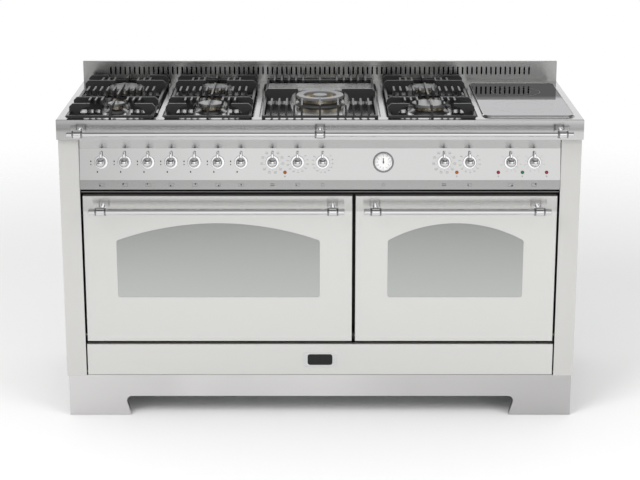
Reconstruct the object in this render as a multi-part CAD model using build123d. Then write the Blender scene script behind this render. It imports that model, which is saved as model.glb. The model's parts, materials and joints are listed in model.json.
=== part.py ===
from build123d import *
import math
import os

# A free-standing double-oven range cooker, 1.5 m wide, in millimetres.
# +Z is up, the front faces -Y, and the origin is on the floor under the middle of the box.

# Worktop, upstand and the chain of heights from the floor up
WIDTH = 1500.0
WORKTOP_DEPTH = 600.0
PLINTH_HEIGHT = 127.0
FLAP_GAP = 3.0
FLAP_HEIGHT = 96.0
DOOR_GAP_BELOW = 9.0
DOOR_HEIGHT = 442.0
VENT_GAP = 20.0
FASCIA_BOTTOM_STRIP = 28.0
FASCIA_FACE_HEIGHT = 90.0
FASCIA_TOP_STRIP = 31.0
LIP_HEIGHT = 58.0
UPSTAND_HEIGHT = 66.0
UPSTAND_DEPTH = 23.0
UPSTAND_SIDE_INSET = 3.0

# Sheet metal
SHEET = 1.5
SKIN = 1.2
FLANGE = 20.0
EDGE_ROUND = 2.0

# Depths behind the front face of the worktop lip
DOOR_SETBACK = 15.0
FASCIA_TOP_SETBACK = 26.0
FASCIA_BOTTOM_SETBACK = 12.0
PLINTH_SETBACK = 22.0
FRAME_SETBACK = 62.0
REAR_SETBACK = 575.0

# Carcass
BODY_OVERHANG = 2.0
PILLAR_WIDTH = 57.5
FRAME_PLATE = 2.0
BASE_PLATE = 2.0
PLINTH_SIDE_INSET = 5.0
PLINTH_FLOOR_GAP = 1.0
PLINTH_CUT_HEIGHT = 60.0
PLINTH_CUT_END = 170.0
PLINTH_CUT_SLANT = 18.0
PLINTH_CUT_RADIUS = 15.0
PLINTH_CUT_FLANGE = 18.0
FOOT_RADIUS = 22.0
FOOT_STEM_RADIUS = 9.0
FOOT_PAD = 10.0
FOOT_NUT = 12.0
FOOT_SIDE_INSET = 88.0
FOOT_FRONT_INSET = 70.0
FOOT_REAR_INSET = 60.0
LOUVRE_LENGTH = 60.0
LOUVRE_WIDTH = 6.0
LOUVRE_PITCH_X = 90.0
LOUVRE_PITCH_Z = 24.0
LOUVRE_END = 255.0
LOUVRE_ROWS = 4
LOUVRE_DROP = 130.0
GLAND_RADIUS = 10.0
GLAND_WALL = 4.0
GLAND_LENGTH = 18.0
GLAND_END = 110.0
GLAND_Z = 300.0

# Doors
DOOR_SIDE_GAP = 6.0
DOOR_MID_GAP = 9.0
LEFT_DOOR_WIDTH = 778.0
DOOR_FLANGE = 30.0
WINDOW_SIDE_MARGIN = 94.0
WINDOW_BOTTOM_MARGIN = 136.0
WINDOW_SHOULDER = 172.5
WINDOW_RISE = 52.0
WINDOW_RADIUS = 8.0
PANE = 4.0
PANE_LAP = 14.0
LINER_EDGE = 0.5
LINER_WALL = 1.2
LINER_CLEAR = 0.3
LINER_PIVOT_CLEAR = 11.0
INNER_PANE_MARGIN = 40.0
PANE_REBATE = 6.0
PANE_CLEAR = 0.3
PIVOT_BACK = 16.0
PIVOT_UP = 16.0
PIN_RADIUS = 5.0
PIN_CLEAR = 0.05
PIN_HOLE_CLEAR = 0.5
PIN_REACH = 11.0
LUG_WIDTH = 13.0
LUG_HALF = 9.0
LUG_SIDE_CLEAR = 0.3
FIN_THICKNESS = 5.0
VENT_STRIP_SETBACK = 10.0

# Handles and towel rail
HANDLE_RADIUS = 9.0
HANDLE_STANDOFF = 50.0
HANDLE_DROP = 34.0
HANDLE_END_INSET = 23.0
HANDLE_POST_INSET = 34.0
HANDLE_COLLAR_RADIUS = 12.5
HANDLE_COLLAR_LENGTH = 24.0
RAIL_RADIUS = 7.0
RAIL_STANDOFF = 45.0
RAIL_DROP = 32.0
RAIL_END_INSET = 35.0
RAIL_POST_INSET = 31.0
RAIL_COLLAR_RADIUS = 12.0
RAIL_COLLAR_LENGTH = 22.0
POST_RADIUS = 6.0
ROSETTE_RADIUS = 11.0
ROSETTE = 3.0
COLLAR_CLEAR = 0.05
COLLAR_ROUND = 5.0
BAR_END_ROUND = 2.0

# Storage flap and the bare plate on it
FLAP_SIDE_GAP = 3.5
FLAP_FLANGE = 18.0
FLAP_PIVOT_BACK = 6.0
FLAP_PIVOT_UP = 9.0
FLAP_PIN_RADIUS = 3.0
FLAP_PIN_REACH = 9.0
FLAP_LUG_WIDTH = 11.0
FLAP_LUG_HALF = 4.8
BADGE_WIDTH = 100.0
BADGE_HEIGHT = 42.0
BADGE_THICKNESS = 2.5
BADGE_FIELD_WIDTH = 74.0
BADGE_FIELD_HEIGHT = 34.0
BADGE_FIELD_DEPTH = 1.0
BADGE_RADIUS = 8.0

# Ovens
CAVITY_SIDE_MARGIN = 69.0
CAVITY_BOTTOM_MARGIN = 45.0
CAVITY_HEIGHT = 350.0
CAVITY_DEPTH = 406.0
CAVITY_FLANGE = 12.0
STORAGE_SIDE_MARGIN = 50.0
STORAGE_EDGE = 7.0
GASKET_WIDTH = 8.0
GASKET_THICKNESS = 4.0
GASKET_OFFSET = 6.0
LEDGE_WIDTH = 10.0
LEDGE_THICKNESS = 4.0
LEDGE_UP = 110.0
LEDGE_FRONT = 18.0
LEDGE_BACK = 20.0
RACK_ROD = 3.0
RACK_WIRE = 1.6
RACK_SIDE_CLEAR = 2.0
RACK_BACK_CLEAR = 42.0
RACK_FRONT_CLEAR = 28.0
RACK_WIRE_PITCH = 30.0
ELEMENT_RADIUS = 3.5
ELEMENT_DROP = 25.0
ELEMENT_SIDE = 60.0
ELEMENT_FRONT = 50.0
ELEMENT_BACK = 80.0
ELEMENT_BEND = 20.0
FAN_RADIUS = 75.0
FAN_DISC = 1.5
FAN_BLADE_DEPTH = 16.0
FAN_BLADES = 10
FAN_BLADE_LENGTH = 28.5
FAN_BLADE_EDGE = 1.5
FAN_HUB_RADIUS = 12.0
FAN_BACK_CLEAR = 8.0
SHAFT_RADIUS = 4.0
SHAFT_CLEAR = 0.05
SHAFT_HOLE_CLEAR = 2.0
SHAFT_REACH = 22.0
MOTOR_RADIUS = 30.0
MOTOR_LENGTH = 48.0
COVER_RADIUS = 95.0
COVER_DEPTH = 34.0
COVER_HOLE_RADIUS = 7.0
COVER_RING_PITCH = 23.5
COVER_RINGS = 3
COVER_RING_HOLES = 6

# Control fascia, knobs, lamps and dial
FASCIA_SIDE_GAP = 1.0
FASCIA_TOP_FLANGE = 24.0
FASCIA_BOTTOM_FLANGE = 18.0
KNOB_UP = 51.0
LAMP_UP = 22.0
GAS_KNOBS = 7
GAS_END = 123.0
GAS_GROUP_GAP = 89.7
LEFT_OVEN_FIRST_X = -136.5
LEFT_OVEN_PITCH = 72.0
RIGHT_OVEN_END = 321.0
RIGHT_OVEN_PITCH = 73.0
ZONE_END = 135.6
ZONE_PITCH = 67.4
LAMP_STEP = 35.5
LAMP_RADIUS = 4.0
LAMP_FLANGE_RADIUS = 5.2
LAMP_FLANGE = 1.0
LAMP_CLEAR = 0.2
KNOB_SKIRT_RADIUS = 19.5
KNOB_SKIRT = 2.4
KNOB_SKIRT_CHAMFER = 1.2
KNOB_SHOULDER = 0.2
KNOB_SHOULDER_INSET = 1.0
KNOB_DOME_RADIUS = 14.0
KNOB_NECK_RADIUS = 10.5
KNOB_CLEAR = 0.6
KNOB_DOME_CENTRE = 17.0
LEVER_REACH = 32.0
LEVER_WIDTH = 9.0
LEVER_TIP_WIDTH = 7.0
LEVER_BACK = 8.0
LEVER_THICKNESS = 9.0
SPINDLE_RADIUS = 3.0
SPINDLE_CLEAR = 0.05
SPINDLE_REACH = 15.0
SPINDLE_HOLE_CLEAR = 2.0
TAP_WIDTH = 26.0
TAP_HEIGHT = 30.0
TAP_DEPTH = 48.0
TAP_PLATE = 2.0
TAP_PLATE_SIZE = 36.0
MANIFOLD_RADIUS = 10.0
MANIFOLD_END = 38.0
INLET_RADIUS = 10.5
INLET_LENGTH = 20.0
INLET_COLLAR_RADIUS = 15.0
INLET_HOLE_CLEAR = 1.0
SWITCH_SIZE = 34.0
SWITCH_DEPTH = 32.0
DIAL_RADIUS = 30.0
DIAL_HOLE_RADIUS = 26.0
DIAL_BEZEL = 4.0
DIAL_FACE_RADIUS = 25.0
DIAL_FACE_BACK = 2.0
DIAL_CASE_DEPTH = 24.0
DIAL_GLASS = 1.5
DIAL_CLEAR = 0.2
POINTER_LENGTH = 12.0
POINTER_TAIL = 4.0
POINTER_THICKNESS = 0.8
POINTER_HUB_RADIUS = 2.6
POINTER_LIFT = 1.2
ARBOR_RADIUS = 1.0
ARBOR_CLEAR = 0.05

# Hob pans, glass hob and burners
PAN_DEPTH = 12.0
PAN_RADIUS = 18.0
PAN_FRONT = 30.0
PAN_BACK = 548.0
HOB_SIDE_MARGIN = 20.0
WOK_PAN_WIDTH = 348.0
PAN_DIVIDER = 14.0
GLASS_SIDE_CLEAR = 3.0
GLASS_FRONT = 38.0
GLASS_BACK = 530.0
GLASS_THICKNESS = 4.0
GLASS_RADIUS = 22.0
GLASS_CLEAR = 0.3
GLASS_SHELF = 12.0
GLASS_RIM = 4.0
GLASS_RIM_PROUD = 1.0
GLASS_RIM_SLOPE = 3.2
HEATER_FRONT_RADIUS = 92.0
HEATER_BACK_RADIUS = 74.0
HEATER_DEPTH = 28.0
HEATER_FRONT_V = 170.0
HEATER_BACK_V = 395.0
BURNER_FRONT_V = 178.0
BURNER_BACK_V = 437.0
WOK_V = 303.0
AUX_RADIUS = 25.0
SEMI_RADIUS = 36.5
RAPID_RADIUS = 50.0
WOK_RADIUS = 71.5
WOK_INNER_RADIUS = 48.0
WOK_CAP_RADIUS = 22.5
CUP_FLARE = 12.0
CUP_HEIGHT = 9.0
CUP_NECK_RADIUS = 18.0
CUP_NECK_DEPTH = 30.0
NECK_CLEAR = 0.3
HEAD_HEIGHT = 10.0
HEAD_INSET = 3.5
FLAME_SLOTS = 24
FLAME_SLOT_WIDTH = 1.6
FLAME_SLOT_DEPTH = 4.0
FLAME_SLOT_HEIGHT = 5.0
CAP_THICKNESS = 7.0
CAP_ROUND = 2.5
IGNITER_RADIUS = 2.0
IGNITER_HEIGHT = 17.0
IGNITER_OFFSET = 5.0

# Cast-iron grates
GRATE_TOP = 31.0
GRATE_FOOT = 3.0
GRATE_BAR = 7.0
GRATE_PLATE = 8.0
GRATE_FIN = 5.5
GRATE_SIDE_INSET = 8.0
GRATE_FRONT = 12.0
GRATE_BACK = 566.0
GRATE_CHAMFER = 9.0
GRATE_TIP = 9.0
GRATE_FIN_DEPTH = 13.0
GRATE_BLADE_DEPTH = 24.0
GRATE_END_FRONT_V = 82.0
GRATE_END_BACK_V = 524.0
GRATE_END_REACH = 59.0
GRATE_BURNER_GAP = 33.0
GRATE_NOSE = 31.0
GRATE_ARCH_CLEAR = 5.0
GRATE_SKIRT = 6.0
GRATE_FINGER_RISE = 46.0
GRATE_FINGER_TIP_GAP = 38.0
FIN_SIDE_INSET = 26.0
FINS_EACH_SIDE = 5
FIN_LENGTH = 67.0
STUB_LENGTH = 50.0
STUB_FIRST = 36.5
STUB_PITCH = 18.0
STUBS_EACH_SIDE = 3
WOK_FIN_PITCH = 22.0
WOK_FIN_FIRST = 52.0
WOK_FINS_EACH_SIDE = 5
WOK_FIN_FRONT_TIP = 159.0
WOK_FIN_BACK_TIP = 436.0
WOK_PLATE_GAP = 66.0
WOK_BRIDGE_V = 469.0

# Upstand slots
SLOT_END = 90.0
SLOT_PITCH = 15.0
SLOT_WIDTH = 5.0
SLOT_LENGTH = 25.0
SLOT_UP = 35.5

# Heights that follow from the chain
FLAP_BOTTOM = PLINTH_HEIGHT + FLAP_GAP
FLAP_TOP = FLAP_BOTTOM + FLAP_HEIGHT
DOOR_BOTTOM = FLAP_TOP + DOOR_GAP_BELOW
DOOR_TOP = DOOR_BOTTOM + DOOR_HEIGHT
FASCIA_BOTTOM = DOOR_TOP + VENT_GAP
FACE_BOTTOM = FASCIA_BOTTOM + FASCIA_BOTTOM_STRIP
FACE_TOP = FACE_BOTTOM + FASCIA_FACE_HEIGHT
LIP_BOTTOM = FACE_TOP + FASCIA_TOP_STRIP
WORKTOP_TOP = LIP_BOTTOM + LIP_HEIGHT

# Widths and depths that follow
HALF_WIDTH = WIDTH / 2
BODY_HALF = HALF_WIDTH - BODY_OVERHANG
OPENING_HALF = BODY_HALF - PILLAR_WIDTH
INNER_HALF = BODY_HALF - SHEET
FRONT_REACH = RAIL_STANDOFF + RAIL_COLLAR_RADIUS
LIP_Y = (FRONT_REACH - WORKTOP_DEPTH) / 2
DOOR_Y = LIP_Y + DOOR_SETBACK
FRAME_Y = LIP_Y + FRAME_SETBACK
REAR_Y = LIP_Y + REAR_SETBACK
WORKTOP_BACK_Y = LIP_Y + WORKTOP_DEPTH
CAVITY_MOUTH_Y = FRAME_Y + FRAME_PLATE
CAVITY_BACK_Y = CAVITY_MOUTH_Y + CAVITY_DEPTH
CAVITY_BOTTOM = DOOR_BOTTOM + CAVITY_BOTTOM_MARGIN
CAVITY_TOP = CAVITY_BOTTOM + CAVITY_HEIGHT
CAVITY_MIDDLE = (CAVITY_BOTTOM + CAVITY_TOP) / 2
GLAND_X = HALF_WIDTH - GLAND_END
LOUVRE_COLUMNS = int((WIDTH - 2 * LOUVRE_END) // LOUVRE_PITCH_X) + 1
SLOT_COUNT = int((WIDTH - 2 * SLOT_END) // SLOT_PITCH) + 1

# Both doors, as left and right edges
LEFT_DOOR = (DOOR_SIDE_GAP - OPENING_HALF, DOOR_SIDE_GAP - OPENING_HALF + LEFT_DOOR_WIDTH)
RIGHT_DOOR = (LEFT_DOOR[1] + DOOR_MID_GAP, OPENING_HALF - DOOR_SIDE_GAP)
LEFT_CAVITY = (LEFT_DOOR[0] + CAVITY_SIDE_MARGIN, LEFT_DOOR[1] - CAVITY_SIDE_MARGIN)
RIGHT_CAVITY = (RIGHT_DOOR[0] + CAVITY_SIDE_MARGIN, RIGHT_DOOR[1] - CAVITY_SIDE_MARGIN)
CAVITIES = (LEFT_CAVITY, RIGHT_CAVITY)
PIVOT_Y = DOOR_Y + PIVOT_BACK
PIVOT_Z = DOOR_BOTTOM + PIVOT_UP
LINER_FRONT_Y = DOOR_Y + DOOR_FLANGE
LINER_BACK_Y = FRAME_Y - GASKET_THICKNESS - LINER_CLEAR
LINER_BOTTOM = PIVOT_Z + LINER_PIVOT_CLEAR
LINER_TOP = DOOR_TOP - LINER_EDGE
FIN_X = (LEFT_DOOR[1] + RIGHT_DOOR[0]) / 2

# Hob sections, as left and right edges of each recessed pan
WOK_PAN = (-WOK_PAN_WIDTH / 2, WOK_PAN_WIDTH / 2)
SIDE_PAN_WIDTH = (HALF_WIDTH - HOB_SIDE_MARGIN - WOK_PAN[1]) / 2 - PAN_DIVIDER
PAN_4 = (WOK_PAN[1] + PAN_DIVIDER, WOK_PAN[1] + PAN_DIVIDER + SIDE_PAN_WIDTH)
PAN_2 = (-PAN_4[1], -PAN_4[0])
PAN_1 = (PAN_2[0] - PAN_DIVIDER - SIDE_PAN_WIDTH, PAN_2[0] - PAN_DIVIDER)
PANS = (PAN_1, PAN_2, WOK_PAN, PAN_4)
GLASS_X = PAN_4[1] + PAN_DIVIDER + SIDE_PAN_WIDTH / 2
GLASS_WIDTH = SIDE_PAN_WIDTH - 2 * GLASS_SIDE_CLEAR
PAN_FLOOR = WORKTOP_TOP - PAN_DEPTH


def middle(edges):
    """Halfway between two edges."""
    return (edges[0] + edges[1]) / 2


# Burners as x, depth behind the lip, and cap radius
BURNERS = (
    (middle(PAN_1), BURNER_FRONT_V, AUX_RADIUS),
    (middle(PAN_1), BURNER_BACK_V, RAPID_RADIUS),
    (middle(PAN_2), BURNER_FRONT_V, SEMI_RADIUS),
    (middle(PAN_2), BURNER_BACK_V, SEMI_RADIUS),
    (middle(WOK_PAN), WOK_V, WOK_RADIUS),
    (middle(PAN_4), BURNER_FRONT_V, RAPID_RADIUS),
    (middle(PAN_4), BURNER_BACK_V, SEMI_RADIUS),
)

# Knobs by name and x, from the left: the groups keep to the ends and to the middle
GAS_FIRST_X = GAS_END - HALF_WIDTH
GAS_PITCH = (LEFT_OVEN_FIRST_X - GAS_GROUP_GAP - GAS_FIRST_X) / (GAS_KNOBS - 1)
GAS_XS = [GAS_FIRST_X + i * GAS_PITCH for i in range(GAS_KNOBS)]
LEFT_OVEN_XS = [LEFT_OVEN_FIRST_X + i * LEFT_OVEN_PITCH for i in range(3)]
RIGHT_OVEN_XS = [HALF_WIDTH - RIGHT_OVEN_END - RIGHT_OVEN_PITCH, HALF_WIDTH - RIGHT_OVEN_END]
ZONE_XS = [HALF_WIDTH - ZONE_END - ZONE_PITCH, HALF_WIDTH - ZONE_END]
SWITCH_XS = {
    "knob_left_oven_function": LEFT_OVEN_XS[0],
    "knob_left_oven_thermostat": LEFT_OVEN_XS[1],
    "knob_left_oven_timer": LEFT_OVEN_XS[2],
    "knob_right_oven_function": RIGHT_OVEN_XS[0],
    "knob_right_oven_thermostat": RIGHT_OVEN_XS[1],
    "knob_front_zone": ZONE_XS[0],
    "knob_rear_zone": ZONE_XS[1],
}
KNOB_XS = {f"knob_burner_{i + 1}": x for i, x in enumerate(GAS_XS)} | SWITCH_XS
LAMP_XS = [middle(LEFT_OVEN_XS), middle(RIGHT_OVEN_XS), ZONE_XS[0] - LAMP_STEP, middle(ZONE_XS),
           ZONE_XS[1] + LAMP_STEP]
DIAL_X = (LEFT_OVEN_XS[-1] + RIGHT_OVEN_XS[0]) / 2

# The tilted face that carries the knobs
FACE_RUN = FASCIA_TOP_SETBACK - FASCIA_BOTTOM_SETBACK
FACE_TILT = math.atan2(FACE_RUN, FASCIA_FACE_HEIGHT)
FACE_NORMAL = (0, -math.cos(FACE_TILT), math.sin(FACE_TILT))


def block(x0, x1, y0, y1, z0, z1):
    """A box between two corners."""
    centre = Pos((x0 + x1) / 2, (y0 + y1) / 2, (z0 + z1) / 2)
    return centre * Box(x1 - x0, y1 - y0, z1 - z0)


def rod(start, end, radius):
    """A round bar between two points."""
    line = Vector(*end) - Vector(*start)
    plane = Plane(origin=start, z_dir=line)
    return plane.location * Cylinder(radius, line.length, align=(Align.CENTER, Align.CENTER, Align.MIN))


def disc(x, y, z0, z1, radius):
    """An upright cylinder from one height to another."""
    return rod((x, y, z0), (x, y, z1), radius)


def along_x(profile, x0, x1):
    """A profile drawn in y and z, carried from x0 to x1."""
    return extrude(Plane.YZ.offset(x0) * profile, x1 - x0)


def along_y(profile, y0, y1):
    """A profile drawn in x and z, carried from y0 to y1."""
    return extrude(Plane.XZ.offset(-y1) * profile, y1 - y0)


def along_z(profile, z0, z1):
    """A profile drawn in x and y, carried from z0 to z1."""
    return extrude(Plane.XY.offset(z0) * profile, z1 - z0)


def outline(points):
    """A face inside straight lines."""
    return make_face(Polyline(*points, close=True))


def fused(pieces):
    """One solid made of overlapping pieces."""
    return pieces[0] + pieces[1:]


def mirrored(piece):
    """The same piece on the other side of the middle."""
    return mirror(piece, about=Plane.YZ)


def face_plane(x, up):
    """A plane on the tilted face: x along the cooker, y up the face, z out of it."""
    back = FASCIA_BOTTOM_SETBACK + FACE_RUN * up / FASCIA_FACE_HEIGHT
    return Plane(origin=(x, LIP_Y + back, FACE_BOTTOM + up), x_dir=(1, 0, 0), z_dir=FACE_NORMAL)


def on_face(x, up, piece):
    """A piece drawn round the origin, set on the tilted face."""
    return face_plane(x, up).location * piece


def upright(radius, z0, z1):
    """A cylinder on the local z axis."""
    return Pos(0, 0, z0) * Cylinder(radius, z1 - z0, align=(Align.CENTER, Align.CENTER, Align.MIN))


def save(name, *solids):
    """Write one node, of one solid or a group of solids."""
    shape = solids[0] if len(solids) == 1 else Compound(children=list(solids))
    export_step(shape, f"parts/{name}.step")


# Carcass

def side_panel():
    """The right side sheet, folded round the front pillar."""
    height = (PLINTH_HEIGHT, LIP_BOTTOM)
    wall = block(INNER_HALF, BODY_HALF, DOOR_Y, REAR_Y + SHEET, *height)
    pillar = block(OPENING_HALF, BODY_HALF, DOOR_Y, DOOR_Y + SHEET, *height)
    inner = block(OPENING_HALF, OPENING_HALF + SHEET, DOOR_Y, FRAME_Y, *height)
    return fused([wall, pillar, inner])


def rear_panel():
    """The back sheet, with louvres, the gas inlet hole and a collar for the supply cable."""
    sheet = block(-INNER_HALF, INNER_HALF, REAR_Y, REAR_Y + SHEET, PLINTH_HEIGHT, LIP_BOTTOM)
    louvre = SlotOverall(LOUVRE_LENGTH, LOUVRE_WIDTH)
    grid = GridLocations(LOUVRE_PITCH_X, LOUVRE_PITCH_Z, LOUVRE_COLUMNS, LOUVRE_ROWS)
    field = Pos(0, LIP_BOTTOM - LOUVRE_DROP) * (Sketch() + grid * louvre)
    slots = along_y(field, REAR_Y, REAR_Y + SHEET)
    inlet = inlet_axis()
    inlet_hole = rod(inlet.position - Vector(0, SHEET, 0), inlet.position + Vector(0, 2 * SHEET, 0),
                     MANIFOLD_RADIUS + INLET_HOLE_CLEAR)
    collar_end = REAR_Y + GLAND_LENGTH
    collar = rod((GLAND_X, REAR_Y, GLAND_Z), (GLAND_X, collar_end, GLAND_Z), GLAND_RADIUS + GLAND_WALL)
    bore = rod((GLAND_X, REAR_Y, GLAND_Z), (GLAND_X, collar_end, GLAND_Z), GLAND_RADIUS)
    return sheet - slots - inlet_hole + collar - bore


def base_tray():
    """The floor of the carcass and of the storage space."""
    return block(-INNER_HALF, INNER_HALF, FRAME_Y, REAR_Y, PLINTH_HEIGHT, PLINTH_HEIGHT + BASE_PLATE)


def plinth():
    """The skirt: a front with a toe space cut out, two sides and a top flange."""
    half = BODY_HALF - PLINTH_SIDE_INSET + BODY_OVERHANG
    front = LIP_Y + PLINTH_SETBACK
    top = PLINTH_HEIGHT
    cut_top = HALF_WIDTH - PLINTH_CUT_END
    cut_foot = cut_top - PLINTH_CUT_SLANT
    cut = outline([
        (-cut_foot, 0), (-cut_top, PLINTH_CUT_HEIGHT), (cut_top, PLINTH_CUT_HEIGHT), (cut_foot, 0),
    ])
    upper = cut.vertices().sort_by(Axis.Y)[-2:]
    cut = fillet(upper, PLINTH_CUT_RADIUS)
    hem = along_y(offset(cut, SHEET), front, front + PLINTH_CUT_FLANGE)
    floor = block(-half, half, front, REAR_Y, -2 * SHEET, PLINTH_FLOOR_GAP)
    opening = along_y(cut, front, front + PLINTH_CUT_FLANGE)
    skirt = fused([
        block(-half, half, front, front + SHEET, PLINTH_FLOOR_GAP, top),
        block(-half, SHEET - half, front, REAR_Y, PLINTH_FLOOR_GAP, top),
        block(half - SHEET, half, front, REAR_Y, PLINTH_FLOOR_GAP, top),
        block(-half, half, front, FRAME_Y + FLANGE, top - SHEET, top),
    ])
    return (skirt + hem) - opening - floor


def levelling_feet():
    """Four screw feet under the base, each a pad, a stem and a lock nut."""
    feet = []
    for x in (FOOT_SIDE_INSET - BODY_HALF, BODY_HALF - FOOT_SIDE_INSET):
        for y in (FRAME_Y + FOOT_FRONT_INSET, REAR_Y - FOOT_REAR_INSET):
            pad = fillet(disc(x, y, 0, FOOT_PAD, FOOT_RADIUS).edges().sort_by(Axis.Z)[-1], BAR_END_ROUND)
            stem = disc(x, y, FOOT_PAD / 2, PLINTH_HEIGHT, FOOT_STEM_RADIUS)
            nut = Pos(x, y) * RegularPolygon(FOOT_STEM_RADIUS * 2, 6)
            feet.append(fused([pad, stem, along_z(nut, PLINTH_HEIGHT - FOOT_NUT, PLINTH_HEIGHT)]))
    return feet


def front_frame():
    """The black frame of flat bars behind the doors, round both oven mouths and the storage mouth."""
    storage_half = OPENING_HALF - STORAGE_SIDE_MARGIN
    storage_bottom = FLAP_BOTTOM + STORAGE_EDGE
    storage_top = FLAP_TOP - STORAGE_EDGE
    bars = (
        (-INNER_HALF, INNER_HALF, PLINTH_HEIGHT + BASE_PLATE, storage_bottom),
        (-INNER_HALF, -storage_half, storage_bottom, storage_top),
        (storage_half, INNER_HALF, storage_bottom, storage_top),
        (-INNER_HALF, INNER_HALF, storage_top, CAVITY_BOTTOM),
        (-INNER_HALF, LEFT_CAVITY[0], CAVITY_BOTTOM, CAVITY_TOP),
        (LEFT_CAVITY[1], RIGHT_CAVITY[0], CAVITY_BOTTOM, CAVITY_TOP),
        (RIGHT_CAVITY[1], INNER_HALF, CAVITY_BOTTOM, CAVITY_TOP),
        (-INNER_HALF, INNER_HALF, CAVITY_TOP, FASCIA_BOTTOM - FLAP_GAP),
    )
    return [block(x0, x1, FRAME_Y, CAVITY_MOUTH_Y, z0, z1) for x0, x1, z0, z1 in bars]


def hinge_fin():
    """The tongue in the gap between the doors that carries their inner pins."""
    return block(FIN_X - FIN_THICKNESS / 2, FIN_X + FIN_THICKNESS / 2, PIVOT_Y - LUG_HALF, FRAME_Y,
                 PIVOT_Z - LUG_HALF, PIVOT_Z + LUG_HALF)


def vent_strip():
    """The thin shelf that splits the cooling gap above the doors."""
    middle_z = DOOR_TOP + VENT_GAP / 2
    front = DOOR_Y + VENT_STRIP_SETBACK
    return block(-OPENING_HALF, OPENING_HALF, front, FRAME_Y, middle_z - SHEET, middle_z + SHEET)


def hinge_pins():
    """Stub pins: one pair for each oven door and one pair for the storage flap."""
    pins = []
    reach = SKIN + LUG_SIDE_CLEAR + PIN_REACH
    fin_faces = (FIN_X - FIN_THICKNESS / 2, FIN_X + FIN_THICKNESS / 2)
    seats = (
        (-OPENING_HALF, LEFT_DOOR[0] + reach),
        (LEFT_DOOR[1] - reach, fin_faces[0]),
        (fin_faces[1], RIGHT_DOOR[0] + reach),
        (RIGHT_DOOR[1] - reach, OPENING_HALF),
    )
    for x0, x1 in seats:
        pins.append(rod((x0, PIVOT_Y, PIVOT_Z), (x1, PIVOT_Y, PIVOT_Z), PIN_RADIUS))
    y, z = flap_pivot()
    flap_end = OPENING_HALF - FLAP_SIDE_GAP - FLAP_PIN_REACH
    flap_pin = rod((flap_end, y, z), (OPENING_HALF, y, z), FLAP_PIN_RADIUS)
    return pins + [flap_pin, mirrored(flap_pin)]


# Ovens

def oven_cavity(edges):
    """A box open to the front, with a mouth flange, two rack ledges and a shaft hole."""
    x0, x1 = edges
    outer = block(x0 - SHEET, x1 + SHEET, CAVITY_MOUTH_Y, CAVITY_BACK_Y + SHEET,
                  CAVITY_BOTTOM - SHEET, CAVITY_TOP + SHEET)
    rim = CAVITY_FLANGE + SHEET
    flange = block(x0 - rim, x1 + rim, CAVITY_MOUTH_Y, CAVITY_MOUTH_Y + SHEET,
                   CAVITY_BOTTOM - rim, CAVITY_TOP + rim)
    inside = block(x0, x1, CAVITY_MOUTH_Y, CAVITY_BACK_Y, CAVITY_BOTTOM, CAVITY_TOP)
    ledge_z = (CAVITY_BOTTOM + LEDGE_UP, CAVITY_BOTTOM + LEDGE_UP + LEDGE_THICKNESS)
    ledge_y = (CAVITY_MOUTH_Y + LEDGE_FRONT, CAVITY_BACK_Y - LEDGE_BACK)
    ledges = [
        block(x0, x0 + LEDGE_WIDTH, *ledge_y, *ledge_z),
        block(x1 - LEDGE_WIDTH, x1, *ledge_y, *ledge_z),
    ]
    centre = middle(edges)
    hole = rod((centre, CAVITY_BACK_Y, CAVITY_MIDDLE), (centre, CAVITY_BACK_Y + SHEET, CAVITY_MIDDLE),
               SHAFT_RADIUS + SHAFT_HOLE_CLEAR)
    return (outer + flange) - inside + ledges - hole


def gasket(edges):
    """The door seal on the front frame, round one oven mouth."""
    inner = GASKET_OFFSET
    outer = GASKET_OFFSET + GASKET_WIDTH
    ring = [
        block(edges[0] - grow, edges[1] + grow, FRAME_Y - GASKET_THICKNESS, FRAME_Y,
              CAVITY_BOTTOM - grow, CAVITY_TOP + grow)
        for grow in (outer, inner)
    ]
    return ring[0] - ring[1]


def oven_rack(edges):
    """A wire shelf that lies on the two ledges."""
    x0 = edges[0] + RACK_SIDE_CLEAR + RACK_ROD
    x1 = edges[1] - RACK_SIDE_CLEAR - RACK_ROD
    y0 = CAVITY_MOUTH_Y + RACK_FRONT_CLEAR
    y1 = CAVITY_BACK_Y - RACK_BACK_CLEAR
    z = CAVITY_BOTTOM + LEDGE_UP + LEDGE_THICKNESS + RACK_ROD
    corners = [(x0, y0, z), (x1, y0, z), (x1, y1, z), (x0, y1, z)]
    frame = [rod(corners[i], corners[(i + 1) % 4], RACK_ROD) for i in range(4)]
    frame += [Pos(*corner) * Sphere(RACK_ROD) for corner in corners]
    count = int((x1 - x0) // RACK_WIRE_PITCH)
    step = (x1 - x0) / (count + 1)
    wires = [rod((x0 + (i + 1) * step, y0, z), (x0 + (i + 1) * step, y1, z), RACK_WIRE) for i in range(count)]
    return fused(frame + wires)


def heating_element(edges):
    """The grill element: a bent tube under the oven roof, from the back wall and back to it."""
    x0 = edges[0] + ELEMENT_SIDE
    x3 = edges[1] - ELEMENT_SIDE
    third = (x3 - x0) / 3
    front = CAVITY_MOUTH_Y + ELEMENT_FRONT
    back = CAVITY_BACK_Y - ELEMENT_BACK
    z = CAVITY_TOP - ELEMENT_DROP
    path = FilletPolyline(
        (x0, CAVITY_BACK_Y, z), (x0, front, z), (x0 + third, front, z), (x0 + third, back, z),
        (x3 - third, back, z), (x3 - third, front, z), (x3, front, z), (x3, CAVITY_BACK_Y, z),
        radius=ELEMENT_BEND,
    )
    section = Plane(origin=(x0, CAVITY_BACK_Y, z), z_dir=(0, -1, 0)) * Circle(ELEMENT_RADIUS)
    return sweep(section, path)


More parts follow.
